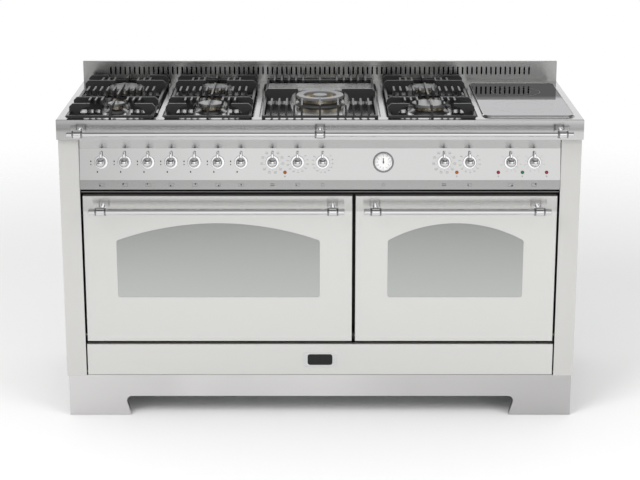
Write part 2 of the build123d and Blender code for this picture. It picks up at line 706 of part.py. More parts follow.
def fan_motor(edges):
    """The motor behind an oven, with its shaft through the back wall."""
    x = middle(edges)
    back = CAVITY_BACK_Y + SHEET
    can = rod((x, back, CAVITY_MIDDLE), (x, back + MOTOR_LENGTH, CAVITY_MIDDLE), MOTOR_RADIUS)
    shaft_tip = CAVITY_BACK_Y - SHAFT_REACH
    shaft = rod((x, shaft_tip, CAVITY_MIDDLE), (x, back + SHEET, CAVITY_MIDDLE), SHAFT_RADIUS)
    return can + shaft


def oven_fan(edges):
    """The fan wheel: a disc with blades round it and a hub on the motor shaft."""
    x = middle(edges)
    back = CAVITY_BACK_Y - FAN_BACK_CLEAR
    disc_front = back - FAN_DISC
    wheel = rod((x, back, CAVITY_MIDDLE), (x, disc_front, CAVITY_MIDDLE), FAN_RADIUS)
    hub = rod((x, back, CAVITY_MIDDLE), (x, disc_front - FAN_BLADE_DEPTH, CAVITY_MIDDLE), FAN_HUB_RADIUS)
    centre = Pos(x, 0, CAVITY_MIDDLE)
    blade_tip = FAN_RADIUS - FAN_BLADE_EDGE
    blade = block(blade_tip - FAN_BLADE_LENGTH, blade_tip, disc_front - FAN_BLADE_DEPTH, disc_front,
                  -FAN_DISC / 2, FAN_DISC / 2)
    turns = [centre * Rot(0, i * 360 / FAN_BLADES, 0) for i in range(FAN_BLADES)]
    bore = rod((x, back, CAVITY_MIDDLE), (x, CAVITY_BACK_Y - SHAFT_REACH - SHAFT_CLEAR, CAVITY_MIDDLE),
               SHAFT_RADIUS + SHAFT_CLEAR)
    return fused([wheel, hub] + [turn * blade for turn in turns]) - bore


def fan_cover(edges):
    """The dished guard over a fan, with rings of round holes."""
    x = middle(edges)
    front = CAVITY_BACK_Y - COVER_DEPTH
    dish = rod((x, front, CAVITY_MIDDLE), (x, CAVITY_BACK_Y, CAVITY_MIDDLE), COVER_RADIUS)
    dish -= rod((x, front + SHEET, CAVITY_MIDDLE), (x, CAVITY_BACK_Y, CAVITY_MIDDLE), COVER_RADIUS - SHEET)
    holes = []
    for ring in range(1, COVER_RINGS + 1):
        count = ring * COVER_RING_HOLES
        for i in range(count):
            angle = 2 * math.pi * i / count
            hole_x = x + ring * COVER_RING_PITCH * math.cos(angle)
            hole_z = CAVITY_MIDDLE + ring * COVER_RING_PITCH * math.sin(angle)
            holes.append(rod((hole_x, front, hole_z), (hole_x, front + SHEET, hole_z), COVER_HOLE_RADIUS))
    return dish - holes


# Doors

def window_outline(edges, grow):
    """The arched window of a door, grown by a margin, in x and z."""
    x0 = edges[0] + WINDOW_SIDE_MARGIN - grow
    x1 = edges[1] - WINDOW_SIDE_MARGIN + grow
    bottom = DOOR_BOTTOM + WINDOW_BOTTOM_MARGIN - grow
    shoulder = DOOR_BOTTOM + WINDOW_BOTTOM_MARGIN + WINDOW_SHOULDER + grow
    crown = (middle(edges), shoulder + WINDOW_RISE)
    sides = Polyline((x1, shoulder), (x1, bottom), (x0, bottom), (x0, shoulder))
    arch = ThreePointArc((x0, shoulder), crown, (x1, shoulder))
    face = make_face(Curve() + [sides, arch])
    return fillet(face.vertices(), WINDOW_RADIUS)


def door_skin(edges):
    """The outer steel tray of a door, with the window and the pin holes."""
    x0, x1 = edges
    tray = block(x0, x1, DOOR_Y, LINER_FRONT_Y, DOOR_BOTTOM, DOOR_TOP)
    tray = fillet(tray.faces().sort_by(Axis.Y)[0].edges(), EDGE_ROUND)
    tray -= block(x0 + SKIN, x1 - SKIN, DOOR_Y + SKIN, LINER_FRONT_Y, DOOR_BOTTOM + SKIN, DOOR_TOP - SKIN)
    tray -= along_y(window_outline(edges, 0), DOOR_Y, DOOR_Y + SKIN)
    pin_holes = rod((x0, PIVOT_Y, PIVOT_Z), (x1, PIVOT_Y, PIVOT_Z), PIN_RADIUS + PIN_HOLE_CLEAR)
    return tray - pin_holes


def inner_pane_edges(edges):
    """Left, right, bottom and top of a door's inner pane."""
    x0 = edges[0] + CAVITY_SIDE_MARGIN + INNER_PANE_MARGIN
    x1 = edges[1] - CAVITY_SIDE_MARGIN - INNER_PANE_MARGIN
    return x0, x1, CAVITY_BOTTOM + INNER_PANE_MARGIN, CAVITY_TOP - INNER_PANE_MARGIN


def door_panes(edges):
    """The outer window pane on the skin and the inner pane in the liner's rebate."""
    outer = along_y(window_outline(edges, PANE_LAP), DOOR_Y + SKIN, DOOR_Y + SKIN + PANE)
    x0, x1, z0, z1 = inner_pane_edges(edges)
    ledge_y = LINER_FRONT_Y + PANE_REBATE
    inner = block(x0, x1, ledge_y - PANE, ledge_y, z0, z1)
    return outer, inner


def door_liner(edges):
    """The inner tray of a door, with the pane's seat and a bored lug at each end."""
    x0 = edges[0] + LINER_EDGE
    x1 = edges[1] - LINER_EDGE
    tray = block(x0, x1, LINER_FRONT_Y, LINER_BACK_Y, LINER_BOTTOM, LINER_TOP)
    tray -= block(x0 + LINER_WALL, x1 - LINER_WALL, LINER_FRONT_Y, LINER_BACK_Y - LINER_WALL,
                  LINER_BOTTOM + LINER_WALL, LINER_TOP - LINER_WALL)
    px0, px1, pz0, pz1 = inner_pane_edges(edges)
    wall = PANE_CLEAR + LINER_WALL
    tray += block(px0 - wall, px1 + wall, LINER_FRONT_Y, LINER_BACK_Y, pz0 - wall, pz1 + wall)
    tray -= block(px0 - PANE_CLEAR, px1 + PANE_CLEAR, LINER_FRONT_Y, LINER_FRONT_Y + PANE_REBATE,
                  pz0 - PANE_CLEAR, pz1 + PANE_CLEAR)
    tray -= block(px0 + PANE_LAP, px1 - PANE_LAP, LINER_FRONT_Y, LINER_BACK_Y, pz0 + PANE_LAP, pz1 - PANE_LAP)
    for lug_x in (edges[0] + SKIN + LUG_SIDE_CLEAR, edges[1] - SKIN - LUG_SIDE_CLEAR - LUG_WIDTH):
        lug = block(lug_x, lug_x + LUG_WIDTH, PIVOT_Y - LUG_HALF, LINER_BACK_Y,
                    PIVOT_Z - LUG_HALF, LINER_BOTTOM + LUG_HALF)
        heel = block(lug_x, lug_x + LUG_WIDTH, LINER_FRONT_Y, LINER_BACK_Y, PIVOT_Z - LUG_HALF, LINER_BOTTOM)
        tray += lug - heel
    return tray - rod((x0, PIVOT_Y, PIVOT_Z), (x1, PIVOT_Y, PIVOT_Z), PIN_RADIUS + PIN_CLEAR)


def bar(x0, x1, y, z, radius):
    """A polished bar along x with rounded ends."""
    return fillet(rod((x0, y, z), (x1, y, z), radius).edges(), BAR_END_ROUND)


def bar_post(x, wall_y, standoff, z, bar_radius, collar_radius, collar_length):
    """A post that carries a bar: a rosette on the wall, a stem and a bored ball collar."""
    y = wall_y - standoff
    rosette = rod((x, wall_y - ROSETTE, z), (x, wall_y, z), ROSETTE_RADIUS)
    stem = rod((x, y, z), (x, wall_y, z), POST_RADIUS)
    half = collar_length / 2
    collar = fillet(rod((x - half, y, z), (x + half, y, z), collar_radius).edges(), COLLAR_ROUND / 2)
    bore = rod((x - half, y, z), (x + half, y, z), bar_radius + COLLAR_CLEAR)
    return fused([rosette, stem, collar]) - bore


def door_handle(edges):
    """The bar handle of a door and its two posts."""
    z = DOOR_TOP - HANDLE_DROP
    x0 = edges[0] + HANDLE_END_INSET
    x1 = edges[1] - HANDLE_END_INSET
    posts = [
        bar_post(x, DOOR_Y, HANDLE_STANDOFF, z, HANDLE_RADIUS, HANDLE_COLLAR_RADIUS, HANDLE_COLLAR_LENGTH)
        for x in (x0 + HANDLE_POST_INSET, x1 - HANDLE_POST_INSET)
    ]
    return [bar(x0, x1, DOOR_Y - HANDLE_STANDOFF, z, HANDLE_RADIUS)] + posts


def towel_rail():
    """The rail along the worktop lip and its three posts."""
    z = WORKTOP_TOP - RAIL_DROP
    half = HALF_WIDTH - RAIL_END_INSET
    post_x = half - RAIL_POST_INSET
    posts = [
        bar_post(x, LIP_Y, RAIL_STANDOFF, z, RAIL_RADIUS, RAIL_COLLAR_RADIUS, RAIL_COLLAR_LENGTH)
        for x in (-post_x, 0, post_x)
    ]
    return [bar(-half, half, LIP_Y - RAIL_STANDOFF, z, RAIL_RADIUS)] + posts


# Storage flap

def flap_pivot():
    """The y and z of the storage flap's hinge line."""
    return DOOR_Y + FLAP_PIVOT_BACK, FLAP_BOTTOM + FLAP_PIVOT_UP


def storage_flap():
    """The drop-down panel of the storage space, with a bored lug at each end."""
    half = OPENING_HALF - FLAP_SIDE_GAP
    back = DOOR_Y + FLAP_FLANGE
    tray = block(-half, half, DOOR_Y, back, FLAP_BOTTOM, FLAP_TOP)
    tray = fillet(tray.faces().sort_by(Axis.Y)[0].edges(), EDGE_ROUND)
    tray -= block(SKIN - half, half - SKIN, DOOR_Y + SKIN, back, FLAP_BOTTOM + SKIN, FLAP_TOP - SKIN)
    y, z = flap_pivot()
    for x in (-half, half - FLAP_LUG_WIDTH):
        tray += block(x, x + FLAP_LUG_WIDTH, DOOR_Y + SKIN, y + FLAP_LUG_HALF,
                      FLAP_BOTTOM + SKIN / 2, z + FLAP_LUG_HALF)
    return tray - rod((-half, y, z), (half, y, z), FLAP_PIN_RADIUS + PIN_CLEAR)


def badge_plate():
    """A bare bright plate with a sunk field, in the middle of the flap."""
    z = (FLAP_BOTTOM + FLAP_TOP) / 2
    plate = Pos(0, z) * RectangleRounded(BADGE_WIDTH, BADGE_HEIGHT, BADGE_RADIUS)
    field = Pos(0, z) * RectangleRounded(BADGE_FIELD_WIDTH, BADGE_FIELD_HEIGHT, BADGE_RADIUS)
    front = DOOR_Y - BADGE_THICKNESS
    return along_y(plate, front, DOOR_Y) - along_y(field, front, front + BADGE_FIELD_DEPTH)


# Control fascia and what it carries

def folded_sheet(points):
    """The section of a folded sheet: a line of bends, thickened to its left."""
    inner = []
    for i, point in enumerate(points):
        before = points[max(i - 1, 0)]
        after = points[min(i + 1, len(points) - 1)]
        ahead = Vector(after[0] - point[0], after[1] - point[1])
        behind = Vector(point[0] - before[0], point[1] - before[1])
        ahead = behind if ahead.length == 0 else ahead
        behind = ahead if behind.length == 0 else behind
        left = Vector(-ahead.Y, ahead.X).normalized() + Vector(-behind.Y, behind.X).normalized()
        shift = left * (2 * SHEET / left.length ** 2)
        inner.append((point[0] + shift.X, point[1] + shift.Y))
    return outline(points + inner[::-1])


def control_fascia():
    """The folded control panel, with holes for the spindles, lamps and dial."""
    half = OPENING_HALF - FASCIA_SIDE_GAP
    top_y = LIP_Y + FASCIA_TOP_SETBACK
    bottom_y = LIP_Y + FASCIA_BOTTOM_SETBACK
    fold = [
        (top_y + FASCIA_TOP_FLANGE, LIP_BOTTOM), (top_y, LIP_BOTTOM), (top_y, FACE_TOP),
        (bottom_y, FACE_BOTTOM), (bottom_y, FASCIA_BOTTOM), (bottom_y + FASCIA_BOTTOM_FLANGE, FASCIA_BOTTOM),
    ]
    panel = along_x(folded_sheet(fold), -half, half)
    through = 4 * SHEET
    spindle_hole = upright(SPINDLE_RADIUS + SPINDLE_HOLE_CLEAR, -through, through)
    lamp_hole = upright(LAMP_RADIUS + LAMP_CLEAR, -through, through)
    dial_hole = upright(DIAL_HOLE_RADIUS + DIAL_CLEAR, -through, through)
    holes = [on_face(x, KNOB_UP, spindle_hole) for x in KNOB_XS.values()]
    holes += [on_face(x, LAMP_UP, lamp_hole) for x in LAMP_XS]
    return panel - (holes + [on_face(DIAL_X, KNOB_UP, dial_hole)])


def knob():
    """A chrome knob: a round skirt, a dome and a lever that points up, bored for the spindle."""
    radius = KNOB_DOME_RADIUS
    neck_z = KNOB_DOME_CENTRE - math.sqrt(radius ** 2 - KNOB_NECK_RADIUS ** 2)
    skirt_top = KNOB_CLEAR + KNOB_SKIRT + KNOB_SKIRT_CHAMFER
    skirt = Polyline(
        (0, KNOB_CLEAR), (KNOB_SKIRT_RADIUS, KNOB_CLEAR), (KNOB_SKIRT_RADIUS, KNOB_CLEAR + KNOB_SKIRT),
        (KNOB_SKIRT_RADIUS - KNOB_SKIRT_CHAMFER, skirt_top),
        (radius - KNOB_SHOULDER_INSET, skirt_top + KNOB_SHOULDER), (KNOB_NECK_RADIUS, neck_z),
    )
    top = (0, KNOB_DOME_CENTRE + radius)
    dome = ThreePointArc((KNOB_NECK_RADIUS, neck_z), (radius, KNOB_DOME_CENTRE), top)
    axis_line = Line(top, (0, KNOB_CLEAR))
    body = revolve(Plane.XZ * make_face(Curve() + [skirt, dome, axis_line]), Axis.Z)
    tip_half = LEVER_TIP_WIDTH / 2
    tip_y = LEVER_REACH - tip_half
    sides = Polyline((-tip_half, tip_y), (-LEVER_WIDTH / 2, 0), (LEVER_WIDTH / 2, 0), (tip_half, tip_y))
    tip = ThreePointArc((tip_half, tip_y), (0, LEVER_REACH), (-tip_half, tip_y))
    lever = along_z(make_face(Curve() + [sides, tip]), LEVER_BACK, LEVER_BACK + LEVER_THICKNESS)
    lever = fillet(lever.faces().sort_by(Axis.Z)[-1].edges(), LEVER_THICKNESS / 4)
    bore = upright(SPINDLE_RADIUS + SPINDLE_CLEAR, KNOB_CLEAR, SPINDLE_REACH + SPINDLE_CLEAR)
    return body + lever - bore


def gas_tap():
    """A gas tap behind the fascia: a plate, a body and the spindle that carries a knob."""
    plate = Pos(0, 0, -SHEET - TAP_PLATE / 2) * Box(TAP_PLATE_SIZE, TAP_PLATE_SIZE, TAP_PLATE)
    depth = TAP_DEPTH - SHEET
    body = Pos(0, 0, -SHEET - depth / 2) * Box(TAP_WIDTH, TAP_HEIGHT, depth)
    return fused([plate, body, upright(SPINDLE_RADIUS, -2 * SHEET, SPINDLE_REACH)])


def control_switch():
    """An oven or hotplate switch behind the fascia, with its spindle."""
    body = Pos(0, 0, -SHEET - SWITCH_DEPTH / 2) * Box(SWITCH_SIZE, SWITCH_SIZE, SWITCH_DEPTH)
    return body + upright(SPINDLE_RADIUS, -2 * SHEET, SPINDLE_REACH)


def manifold_axis():
    """The y and z of the gas pipe behind the taps."""
    centre = face_plane(0, KNOB_UP).from_local_coords(Vector(0, 0, -TAP_DEPTH - MANIFOLD_RADIUS))
    return centre.Y, centre.Z


def inlet_axis():
    """Where the gas pipe passes through the rear panel."""
    return Location((GAS_FIRST_X - MANIFOLD_END, REAR_Y, manifold_axis()[1]))


def gas_manifold():
    """The gas pipe behind the taps, its run to the back and the threaded inlet there."""
    y, z = manifold_axis()
    x0 = GAS_FIRST_X - MANIFOLD_END
    x1 = GAS_XS[-1] + TAP_WIDTH
    collar_end = REAR_Y + SHEET + 2 * SHEET
    return fused([
        rod((x0, y, z), (x1, y, z), MANIFOLD_RADIUS),
        Pos(x0, y, z) * Sphere(MANIFOLD_RADIUS),
        rod((x0, y, z), (x0, collar_end, z), MANIFOLD_RADIUS),
        rod((x0, REAR_Y + SHEET, z), (x0, collar_end, z), INLET_COLLAR_RADIUS),
        rod((x0, REAR_Y, z), (x0, REAR_Y + INLET_LENGTH, z), INLET_RADIUS - INLET_HOLE_CLEAR),
        rod((x0, collar_end, z), (x0, REAR_Y + INLET_LENGTH, z), INLET_RADIUS),
    ])


def indicator_lamp():
    """A lamp lens: a stem through the fascia, a flange on it and a low dome."""
    stem = upright(LAMP_RADIUS, -3 * SHEET, 0)
    flange = upright(LAMP_FLANGE_RADIUS, 0, LAMP_FLANGE)
    above = upright(LAMP_RADIUS, LAMP_FLANGE, LAMP_FLANGE + LAMP_RADIUS)
    dome = Pos(0, 0, LAMP_FLANGE) * Sphere(LAMP_RADIUS) & above
    return fused([stem, flange, dome])


def dial_case():
    """The can and bezel of the dial, with its face and the arbor of the pointer."""
    can = upright(DIAL_HOLE_RADIUS, -DIAL_CASE_DEPTH, 0)
    bezel = upright(DIAL_RADIUS, 0, DIAL_BEZEL)
    bezel = fillet(bezel.edges().sort_by(Axis.Z)[-1], BAR_END_ROUND)
    well = upright(DIAL_FACE_RADIUS, -DIAL_FACE_BACK, DIAL_BEZEL)
    arbor = upright(ARBOR_RADIUS, -DIAL_CASE_DEPTH / 2, POINTER_LIFT + POINTER_THICKNESS - DIAL_FACE_BACK)
    return can + bezel - well + arbor


def dial_glass():
    """The clear lens that lies on the rim of the dial's well."""
    top = DIAL_BEZEL - DIAL_CLEAR
    return upright(DIAL_FACE_RADIUS, top - DIAL_GLASS, top)


def dial_pointer():
    """The dial hand, at twelve o'clock, on a small hub."""
    z0 = POINTER_LIFT - DIAL_FACE_BACK
    z1 = z0 + POINTER_THICKNESS
    hand = outline([(-POINTER_HUB_RADIUS / 2, -POINTER_TAIL), (POINTER_HUB_RADIUS / 2, -POINTER_TAIL),
                    (POINTER_HUB_RADIUS / 3, POINTER_LENGTH), (-POINTER_HUB_RADIUS / 3, POINTER_LENGTH)])
    hub = upright(POINTER_HUB_RADIUS, z0, z1)
    return along_z(hand, z0, z1) + hub - upright(ARBOR_RADIUS + ARBOR_CLEAR, z0, z1)


# Worktop, upstand and hob

def worktop():
    """The pressed top: a lipped box with recessed pans, burner holes and the glass hob's rim."""
    top = block(-HALF_WIDTH, HALF_WIDTH, LIP_Y, WORKTOP_BACK_Y, LIP_BOTTOM, WORKTOP_TOP)
    top = fillet(top.faces().sort_by(Axis.Z)[-1].edges(), EDGE_ROUND)
    top -= block(SHEET - HALF_WIDTH, HALF_WIDTH - SHEET, LIP_Y + SHEET, WORKTOP_BACK_Y - SHEET,
                 LIP_BOTTOM + SHEET, WORKTOP_TOP - SHEET)
    hollow_front = LIP_Y + FASCIA_TOP_SETBACK + FASCIA_TOP_FLANGE
    top -= block(FLANGE - HALF_WIDTH, HALF_WIDTH - FLANGE, hollow_front, WORKTOP_BACK_Y - FLANGE,
                 LIP_BOTTOM, LIP_BOTTOM + SHEET)
    depth = PAN_BACK - PAN_FRONT
    centre_y = LIP_Y + PAN_FRONT + depth / 2
    for edges in PANS:
        width = edges[1] - edges[0]
        centre = Pos(middle(edges), centre_y)
        shell = centre * RectangleRounded(width + 2 * SHEET, depth + 2 * SHEET, PAN_RADIUS + SHEET)
        recess = centre * RectangleRounded(width, depth, PAN_RADIUS)
        top += along_z(shell, PAN_FLOOR - SHEET, WORKTOP_TOP - SHEET)
        top -= along_z(recess, PAN_FLOOR, WORKTOP_TOP)
    holes = [
        disc(x, LIP_Y + v, PAN_FLOOR - SHEET, PAN_FLOOR, CUP_NECK_RADIUS + NECK_CLEAR) for x, v, _ in BURNERS
    ]
    glass_depth = GLASS_BACK - GLASS_FRONT
    glass_centre = Pos(GLASS_X, LIP_Y + GLASS_FRONT + glass_depth / 2)
    gap = 2 * GLASS_CLEAR
    grown = gap + 2 * GLASS_RIM
    rim_inner = glass_centre * RectangleRounded(GLASS_WIDTH + gap, glass_depth + gap, GLASS_RADIUS)
    rim_radius = GLASS_RADIUS + GLASS_RIM
    rim_outer = glass_centre * RectangleRounded(GLASS_WIDTH + grown, glass_depth + grown, rim_radius)
    rim_top = WORKTOP_TOP + GLASS_THICKNESS + GLASS_RIM_PROUD
    rim = along_z(rim_outer, WORKTOP_TOP - SHEET / 2, rim_top)
    rim = chamfer(rim.faces().sort_by(Axis.Z)[-1].edges(), GLASS_RIM_SLOPE)
    rim -= along_z(rim_inner, WORKTOP_TOP, rim_top)
    shelf = 2 * GLASS_SHELF
    window = glass_centre * RectangleRounded(GLASS_WIDTH - shelf, glass_depth - shelf, GLASS_RADIUS)
    return top - holes + rim - along_z(window, WORKTOP_TOP - SHEET, WORKTOP_TOP)


def upstand():
    """The folded guard along the back, with a row of upright slots in its front."""
    half = HALF_WIDTH - UPSTAND_SIDE_INSET
    front = WORKTOP_BACK_Y - UPSTAND_DEPTH
    top = WORKTOP_TOP + UPSTAND_HEIGHT
    shell = block(-half, half, front, WORKTOP_BACK_Y, WORKTOP_TOP, top)
    shell = fillet(shell.edges().filter_by(Axis.X).group_by(Axis.Z)[-1], EDGE_ROUND)
    shell -= block(SHEET - half, half - SHEET, front + SHEET, WORKTOP_BACK_Y - SHEET,
                   WORKTOP_TOP, top - SHEET)
    slot = Rot(0, 0, 90) * SlotOverall(SLOT_LENGTH, SLOT_WIDTH)
    row = Pos(0, WORKTOP_TOP + SLOT_UP) * (Sketch() + GridLocations(SLOT_PITCH, 1, SLOT_COUNT, 1) * slot)
    return shell - along_y(row, front, front + SHEET)


def hob_glass():
    """The glass-ceramic plate of the two radiant zones."""
    depth = GLASS_BACK - GLASS_FRONT
    plate = Pos(GLASS_X, LIP_Y + GLASS_FRONT + depth / 2) * RectangleRounded(GLASS_WIDTH, depth, GLASS_RADIUS)
    return along_z(plate, WORKTOP_TOP, WORKTOP_TOP + GLASS_THICKNESS)


def radiant_heaters():
    """The two round heaters pressed up under the glass."""
    zones = ((HEATER_FRONT_V, HEATER_FRONT_RADIUS), (HEATER_BACK_V, HEATER_BACK_RADIUS))
    return [disc(GLASS_X, LIP_Y + v, WORKTOP_TOP - HEATER_DEPTH, WORKTOP_TOP, radius) for v, radius in zones]


def burner_cup(x, v, radius):
    """A burner's base: a flared skirt on the pan and a neck down through it."""
    y = LIP_Y + v
    top_radius = radius - HEAD_INSET
    skirt = Pos(x, y, PAN_FLOOR) * Cone(radius + CUP_FLARE, top_radius, CUP_HEIGHT,
                                        align=(Align.CENTER, Align.CENTER, Align.MIN))
    return skirt + disc(x, y, PAN_FLOOR - CUP_NECK_DEPTH, PAN_FLOOR, CUP_NECK_RADIUS)


def flame_crown(x, y, z0, radius, count):
    """A crown of flame slots cut into the top of a ring."""
    half = FLAME_SLOT_WIDTH / 2
    slot = block(radius - FLAME_SLOT_DEPTH, radius + FLAME_SLOT_DEPTH, -half, half,
                 z0 - FLAME_SLOT_HEIGHT, z0)
    return [Pos(x, y) * Rot(0, 0, i * 360 / count) * slot for i in range(count)]


def burner_head(x, v, radius):
    """The brass flame spreader; the wok burner has an outer ring and an inner crown."""
    y = LIP_Y + v
    z0 = PAN_FLOOR + CUP_HEIGHT
    z1 = z0 + HEAD_HEIGHT
    head_radius = radius - HEAD_INSET
    head = disc(x, y, z0, z1, head_radius) - flame_crown(x, y, z1, head_radius, FLAME_SLOTS)
    if radius == WOK_RADIUS:
        inner = WOK_CAP_RADIUS - HEAD_INSET
        trough = disc(x, y, z0 + HEAD_HEIGHT / 3, z1, WOK_INNER_RADIUS + HEAD_INSET)
        trough -= disc(x, y, z0, z1, inner)
        head = head - trough - flame_crown(x, y, z1, inner, FLAME_SLOTS)
    return head


def burner_caps(x, v, radius):
    """The enamelled cap on a head; the wok burner has a ring and a small cap."""
    y = LIP_Y + v
    z0 = PAN_FLOOR + CUP_HEIGHT + HEAD_HEIGHT
    z1 = z0 + CAP_THICKNESS

    def rounded(cap):
        return fillet(cap.faces().sort_by(Axis.Z)[-1].edges(), CAP_ROUND)

    if radius != WOK_RADIUS:
        return [rounded(disc(x, y, z0, z1, radius))]
    ring = disc(x, y, z0, z1, radius) - disc(x, y, z0, z1, WOK_INNER_RADIUS)
    return [rounded(ring), rounded(disc(x, y, z0, z1, WOK_CAP_RADIUS))]


def igniter(x, v, radius):
    """The ceramic spark pin beside a burner."""
    away = (radius + CUP_FLARE + IGNITER_OFFSET) / math.sqrt(2)
    return disc(x + away, LIP_Y + v + away, PAN_FLOOR, PAN_FLOOR + IGNITER_HEIGHT, IGNITER_RADIUS)


# Grates

GRATE_Z = WORKTOP_TOP + GRATE_TOP
GRATE_LOW = WORKTOP_TOP + GRATE_FOOT
GRATE_FRONT_Y = LIP_Y + GRATE_FRONT
GRATE_BACK_Y = LIP_Y + GRATE_BACK


def grate_frame(x, half):
    """The low frame of a grate and its feet on the flat borders of the worktop."""
    low = (GRATE_LOW, GRATE_LOW + GRATE_BAR)
    bars = [
        block(x - half, x + half, GRATE_FRONT_Y, GRATE_FRONT_Y + GRATE_BAR, *low),
        block(x - half, x + half, GRATE_BACK_Y - GRATE_BAR, GRATE_BACK_Y, *low),
        block(x - half, x - half + GRATE_BAR, GRATE_FRONT_Y, GRATE_BACK_Y, *low),
        block(x + half - GRATE_BAR, x + half, GRATE_FRONT_Y, GRATE_BACK_Y, *low),
    ]
    for foot_x in (x - half + GRATE_BAR, x, x + half - GRATE_BAR):
        for foot_y in (GRATE_FRONT_Y + GRATE_BAR / 2, GRATE_BACK_Y - GRATE_BAR / 2):
            bars.append(disc(foot_x, foot_y, WORKTOP_TOP, GRATE_LOW + GRATE_FOOT, GRATE_BAR / 2))
    return bars


def cross_plates(x, half, v, gap, foot):
    """A pair of upright plates across a grate, deep out to the frame and arched up to a thin nose."""
    y = LIP_Y + v
    skirt = WORKTOP_TOP - GRATE_SKIRT
    nose = GRATE_Z - GRATE_TIP
    edges = Polyline(
        (foot, skirt), (half, skirt), (half, GRATE_Z - GRATE_CHAMFER),
        (half - GRATE_CHAMFER, GRATE_Z), (gap, GRATE_Z), (gap, nose),
    )
    arch = EllipticalCenterArc((gap, skirt), foot - gap, nose - skirt, arc_size=90)
    right = along_y(make_face(Curve() + [edges, arch]), y - GRATE_PLATE / 2, y + GRATE_PLATE / 2)
    return [Pos(x, 0, 0) * right, Pos(x, 0, 0) * mirrored(right)]


def front_finger(x, tip_y):
    """A finger that rises from the front bar and runs back to a tip."""
    rise = GRATE_FRONT_Y + GRATE_FINGER_RISE
    shape = outline([
        (GRATE_FRONT_Y, GRATE_LOW), (GRATE_FRONT_Y, GRATE_LOW + GRATE_BAR), (rise, GRATE_Z), (tip_y, GRATE_Z),
        (tip_y, GRATE_Z - GRATE_TIP), (rise + GRATE_TIP, GRATE_Z - GRATE_TIP - GRATE_FOOT),
        (GRATE_FRONT_Y + 2 * GRATE_BAR, GRATE_LOW),
    ])
    return along_x(shape, x - GRATE_FIN / 2, x + GRATE_FIN / 2)


def back_finger(x, tip_y):
    """The same finger from the back bar."""
    centre_y = (GRATE_FRONT_Y + GRATE_BACK_Y) / 2
    finger = front_finger(x, 2 * centre_y - tip_y)
    return mirror(finger, about=Plane(origin=(0, centre_y, 0), z_dir=(0, 1, 0)))


def fin(x, y0, y1, depth):
    """An upright fin along y at the top of a grate."""
    return block(x - GRATE_FIN / 2, x + GRATE_FIN / 2, y0, y1, GRATE_Z - depth, GRATE_Z)


def arch_foot(radius):
    """Where the arch of a plate beside a burner meets its skirt, clear of the burner's cup."""
    return radius + CUP_FLARE + GRATE_ARCH_CLEAR


def two_burner_grate(edges):
    """A grate over a front and a back burner."""
    x = middle(edges)
    half = (edges[1] - edges[0]) / 2 - GRATE_SIDE_INSET
    end_gap = half - GRATE_END_REACH
    fin_pitch = (half - FIN_SIDE_INSET) / FINS_EACH_SIDE
    pieces = grate_frame(x, half)
    for v in (GRATE_END_FRONT_V, GRATE_END_BACK_V):
        pieces += cross_plates(x, half, v, end_gap, end_gap + GRATE_NOSE)
    for burner_x, v, radius in BURNERS:
        if burner_x == x:
            pieces += cross_plates(x, half, v, GRATE_BURNER_GAP, arch_foot(radius))
    middle_y = LIP_Y + (BURNER_FRONT_V + BURNER_BACK_V) / 2
    pieces.append(block(x - half, x + half, middle_y - GRATE_BAR / 2, middle_y + GRATE_BAR / 2,
                        GRATE_LOW, GRATE_LOW + GRATE_BAR))
    for i in range(-FINS_EACH_SIDE, FINS_EACH_SIDE + 1):
        pieces.append(fin(x + i * fin_pitch, middle_y - FIN_LENGTH / 2, middle_y + FIN_LENGTH / 2,
                          GRATE_BLADE_DEPTH))
    front_burner = LIP_Y + BURNER_FRONT_V
    back_burner = LIP_Y + BURNER_BACK_V
    for side in (-1, 1):
        for i in range(STUBS_EACH_SIDE):
            stub_x = x + side * (STUB_FIRST + i * STUB_PITCH)
            pieces.append(fin(stub_x, front_burner - STUB_LENGTH, front_burner, GRATE_FIN_DEPTH))
            pieces.append(fin(stub_x, back_burner, back_burner + STUB_LENGTH, GRATE_FIN_DEPTH))
    pieces.append(front_finger(x, front_burner - GRATE_FINGER_TIP_GAP))
    pieces.append(back_finger(x, back_burner + GRATE_FINGER_TIP_GAP))
    pieces.append(fin(x, front_burner + GRATE_FINGER_TIP_GAP, back_burner - GRATE_FINGER_TIP_GAP,
                      GRATE_FIN_DEPTH))
    return fused(pieces)


def wok_grate(edges):
    """The grate over the wok burner, with rows of fingers front and back."""
    x = middle(edges)
    half = (edges[1] - edges[0]) / 2 - GRATE_SIDE_INSET
    pieces = grate_frame(x, half)
    pieces += cross_plates(x, half, WOK_V, WOK_PLATE_GAP, arch_foot(WOK_RADIUS))
    offsets = [0.0]
    for i in range(WOK_FINS_EACH_SIDE):
        reach = WOK_FIN_FIRST + i * WOK_FIN_PITCH
        offsets += [-reach, reach]
    for reach in offsets:
        pieces.append(front_finger(x + reach, LIP_Y + WOK_FIN_FRONT_TIP))
        pieces.append(back_finger(x + reach, LIP_Y + WOK_FIN_BACK_TIP))
    bridge_y = LIP_Y + WOK_BRIDGE_V
    bridge_half = GRATE_FIN / 2
    pieces.append(block(x - WOK_FIN_FIRST, x + WOK_FIN_FIRST, bridge_y - bridge_half, bridge_y + bridge_half,
                        GRATE_Z - GRATE_TIP, GRATE_Z - GRATE_TIP / 2))
    return fused(pieces)


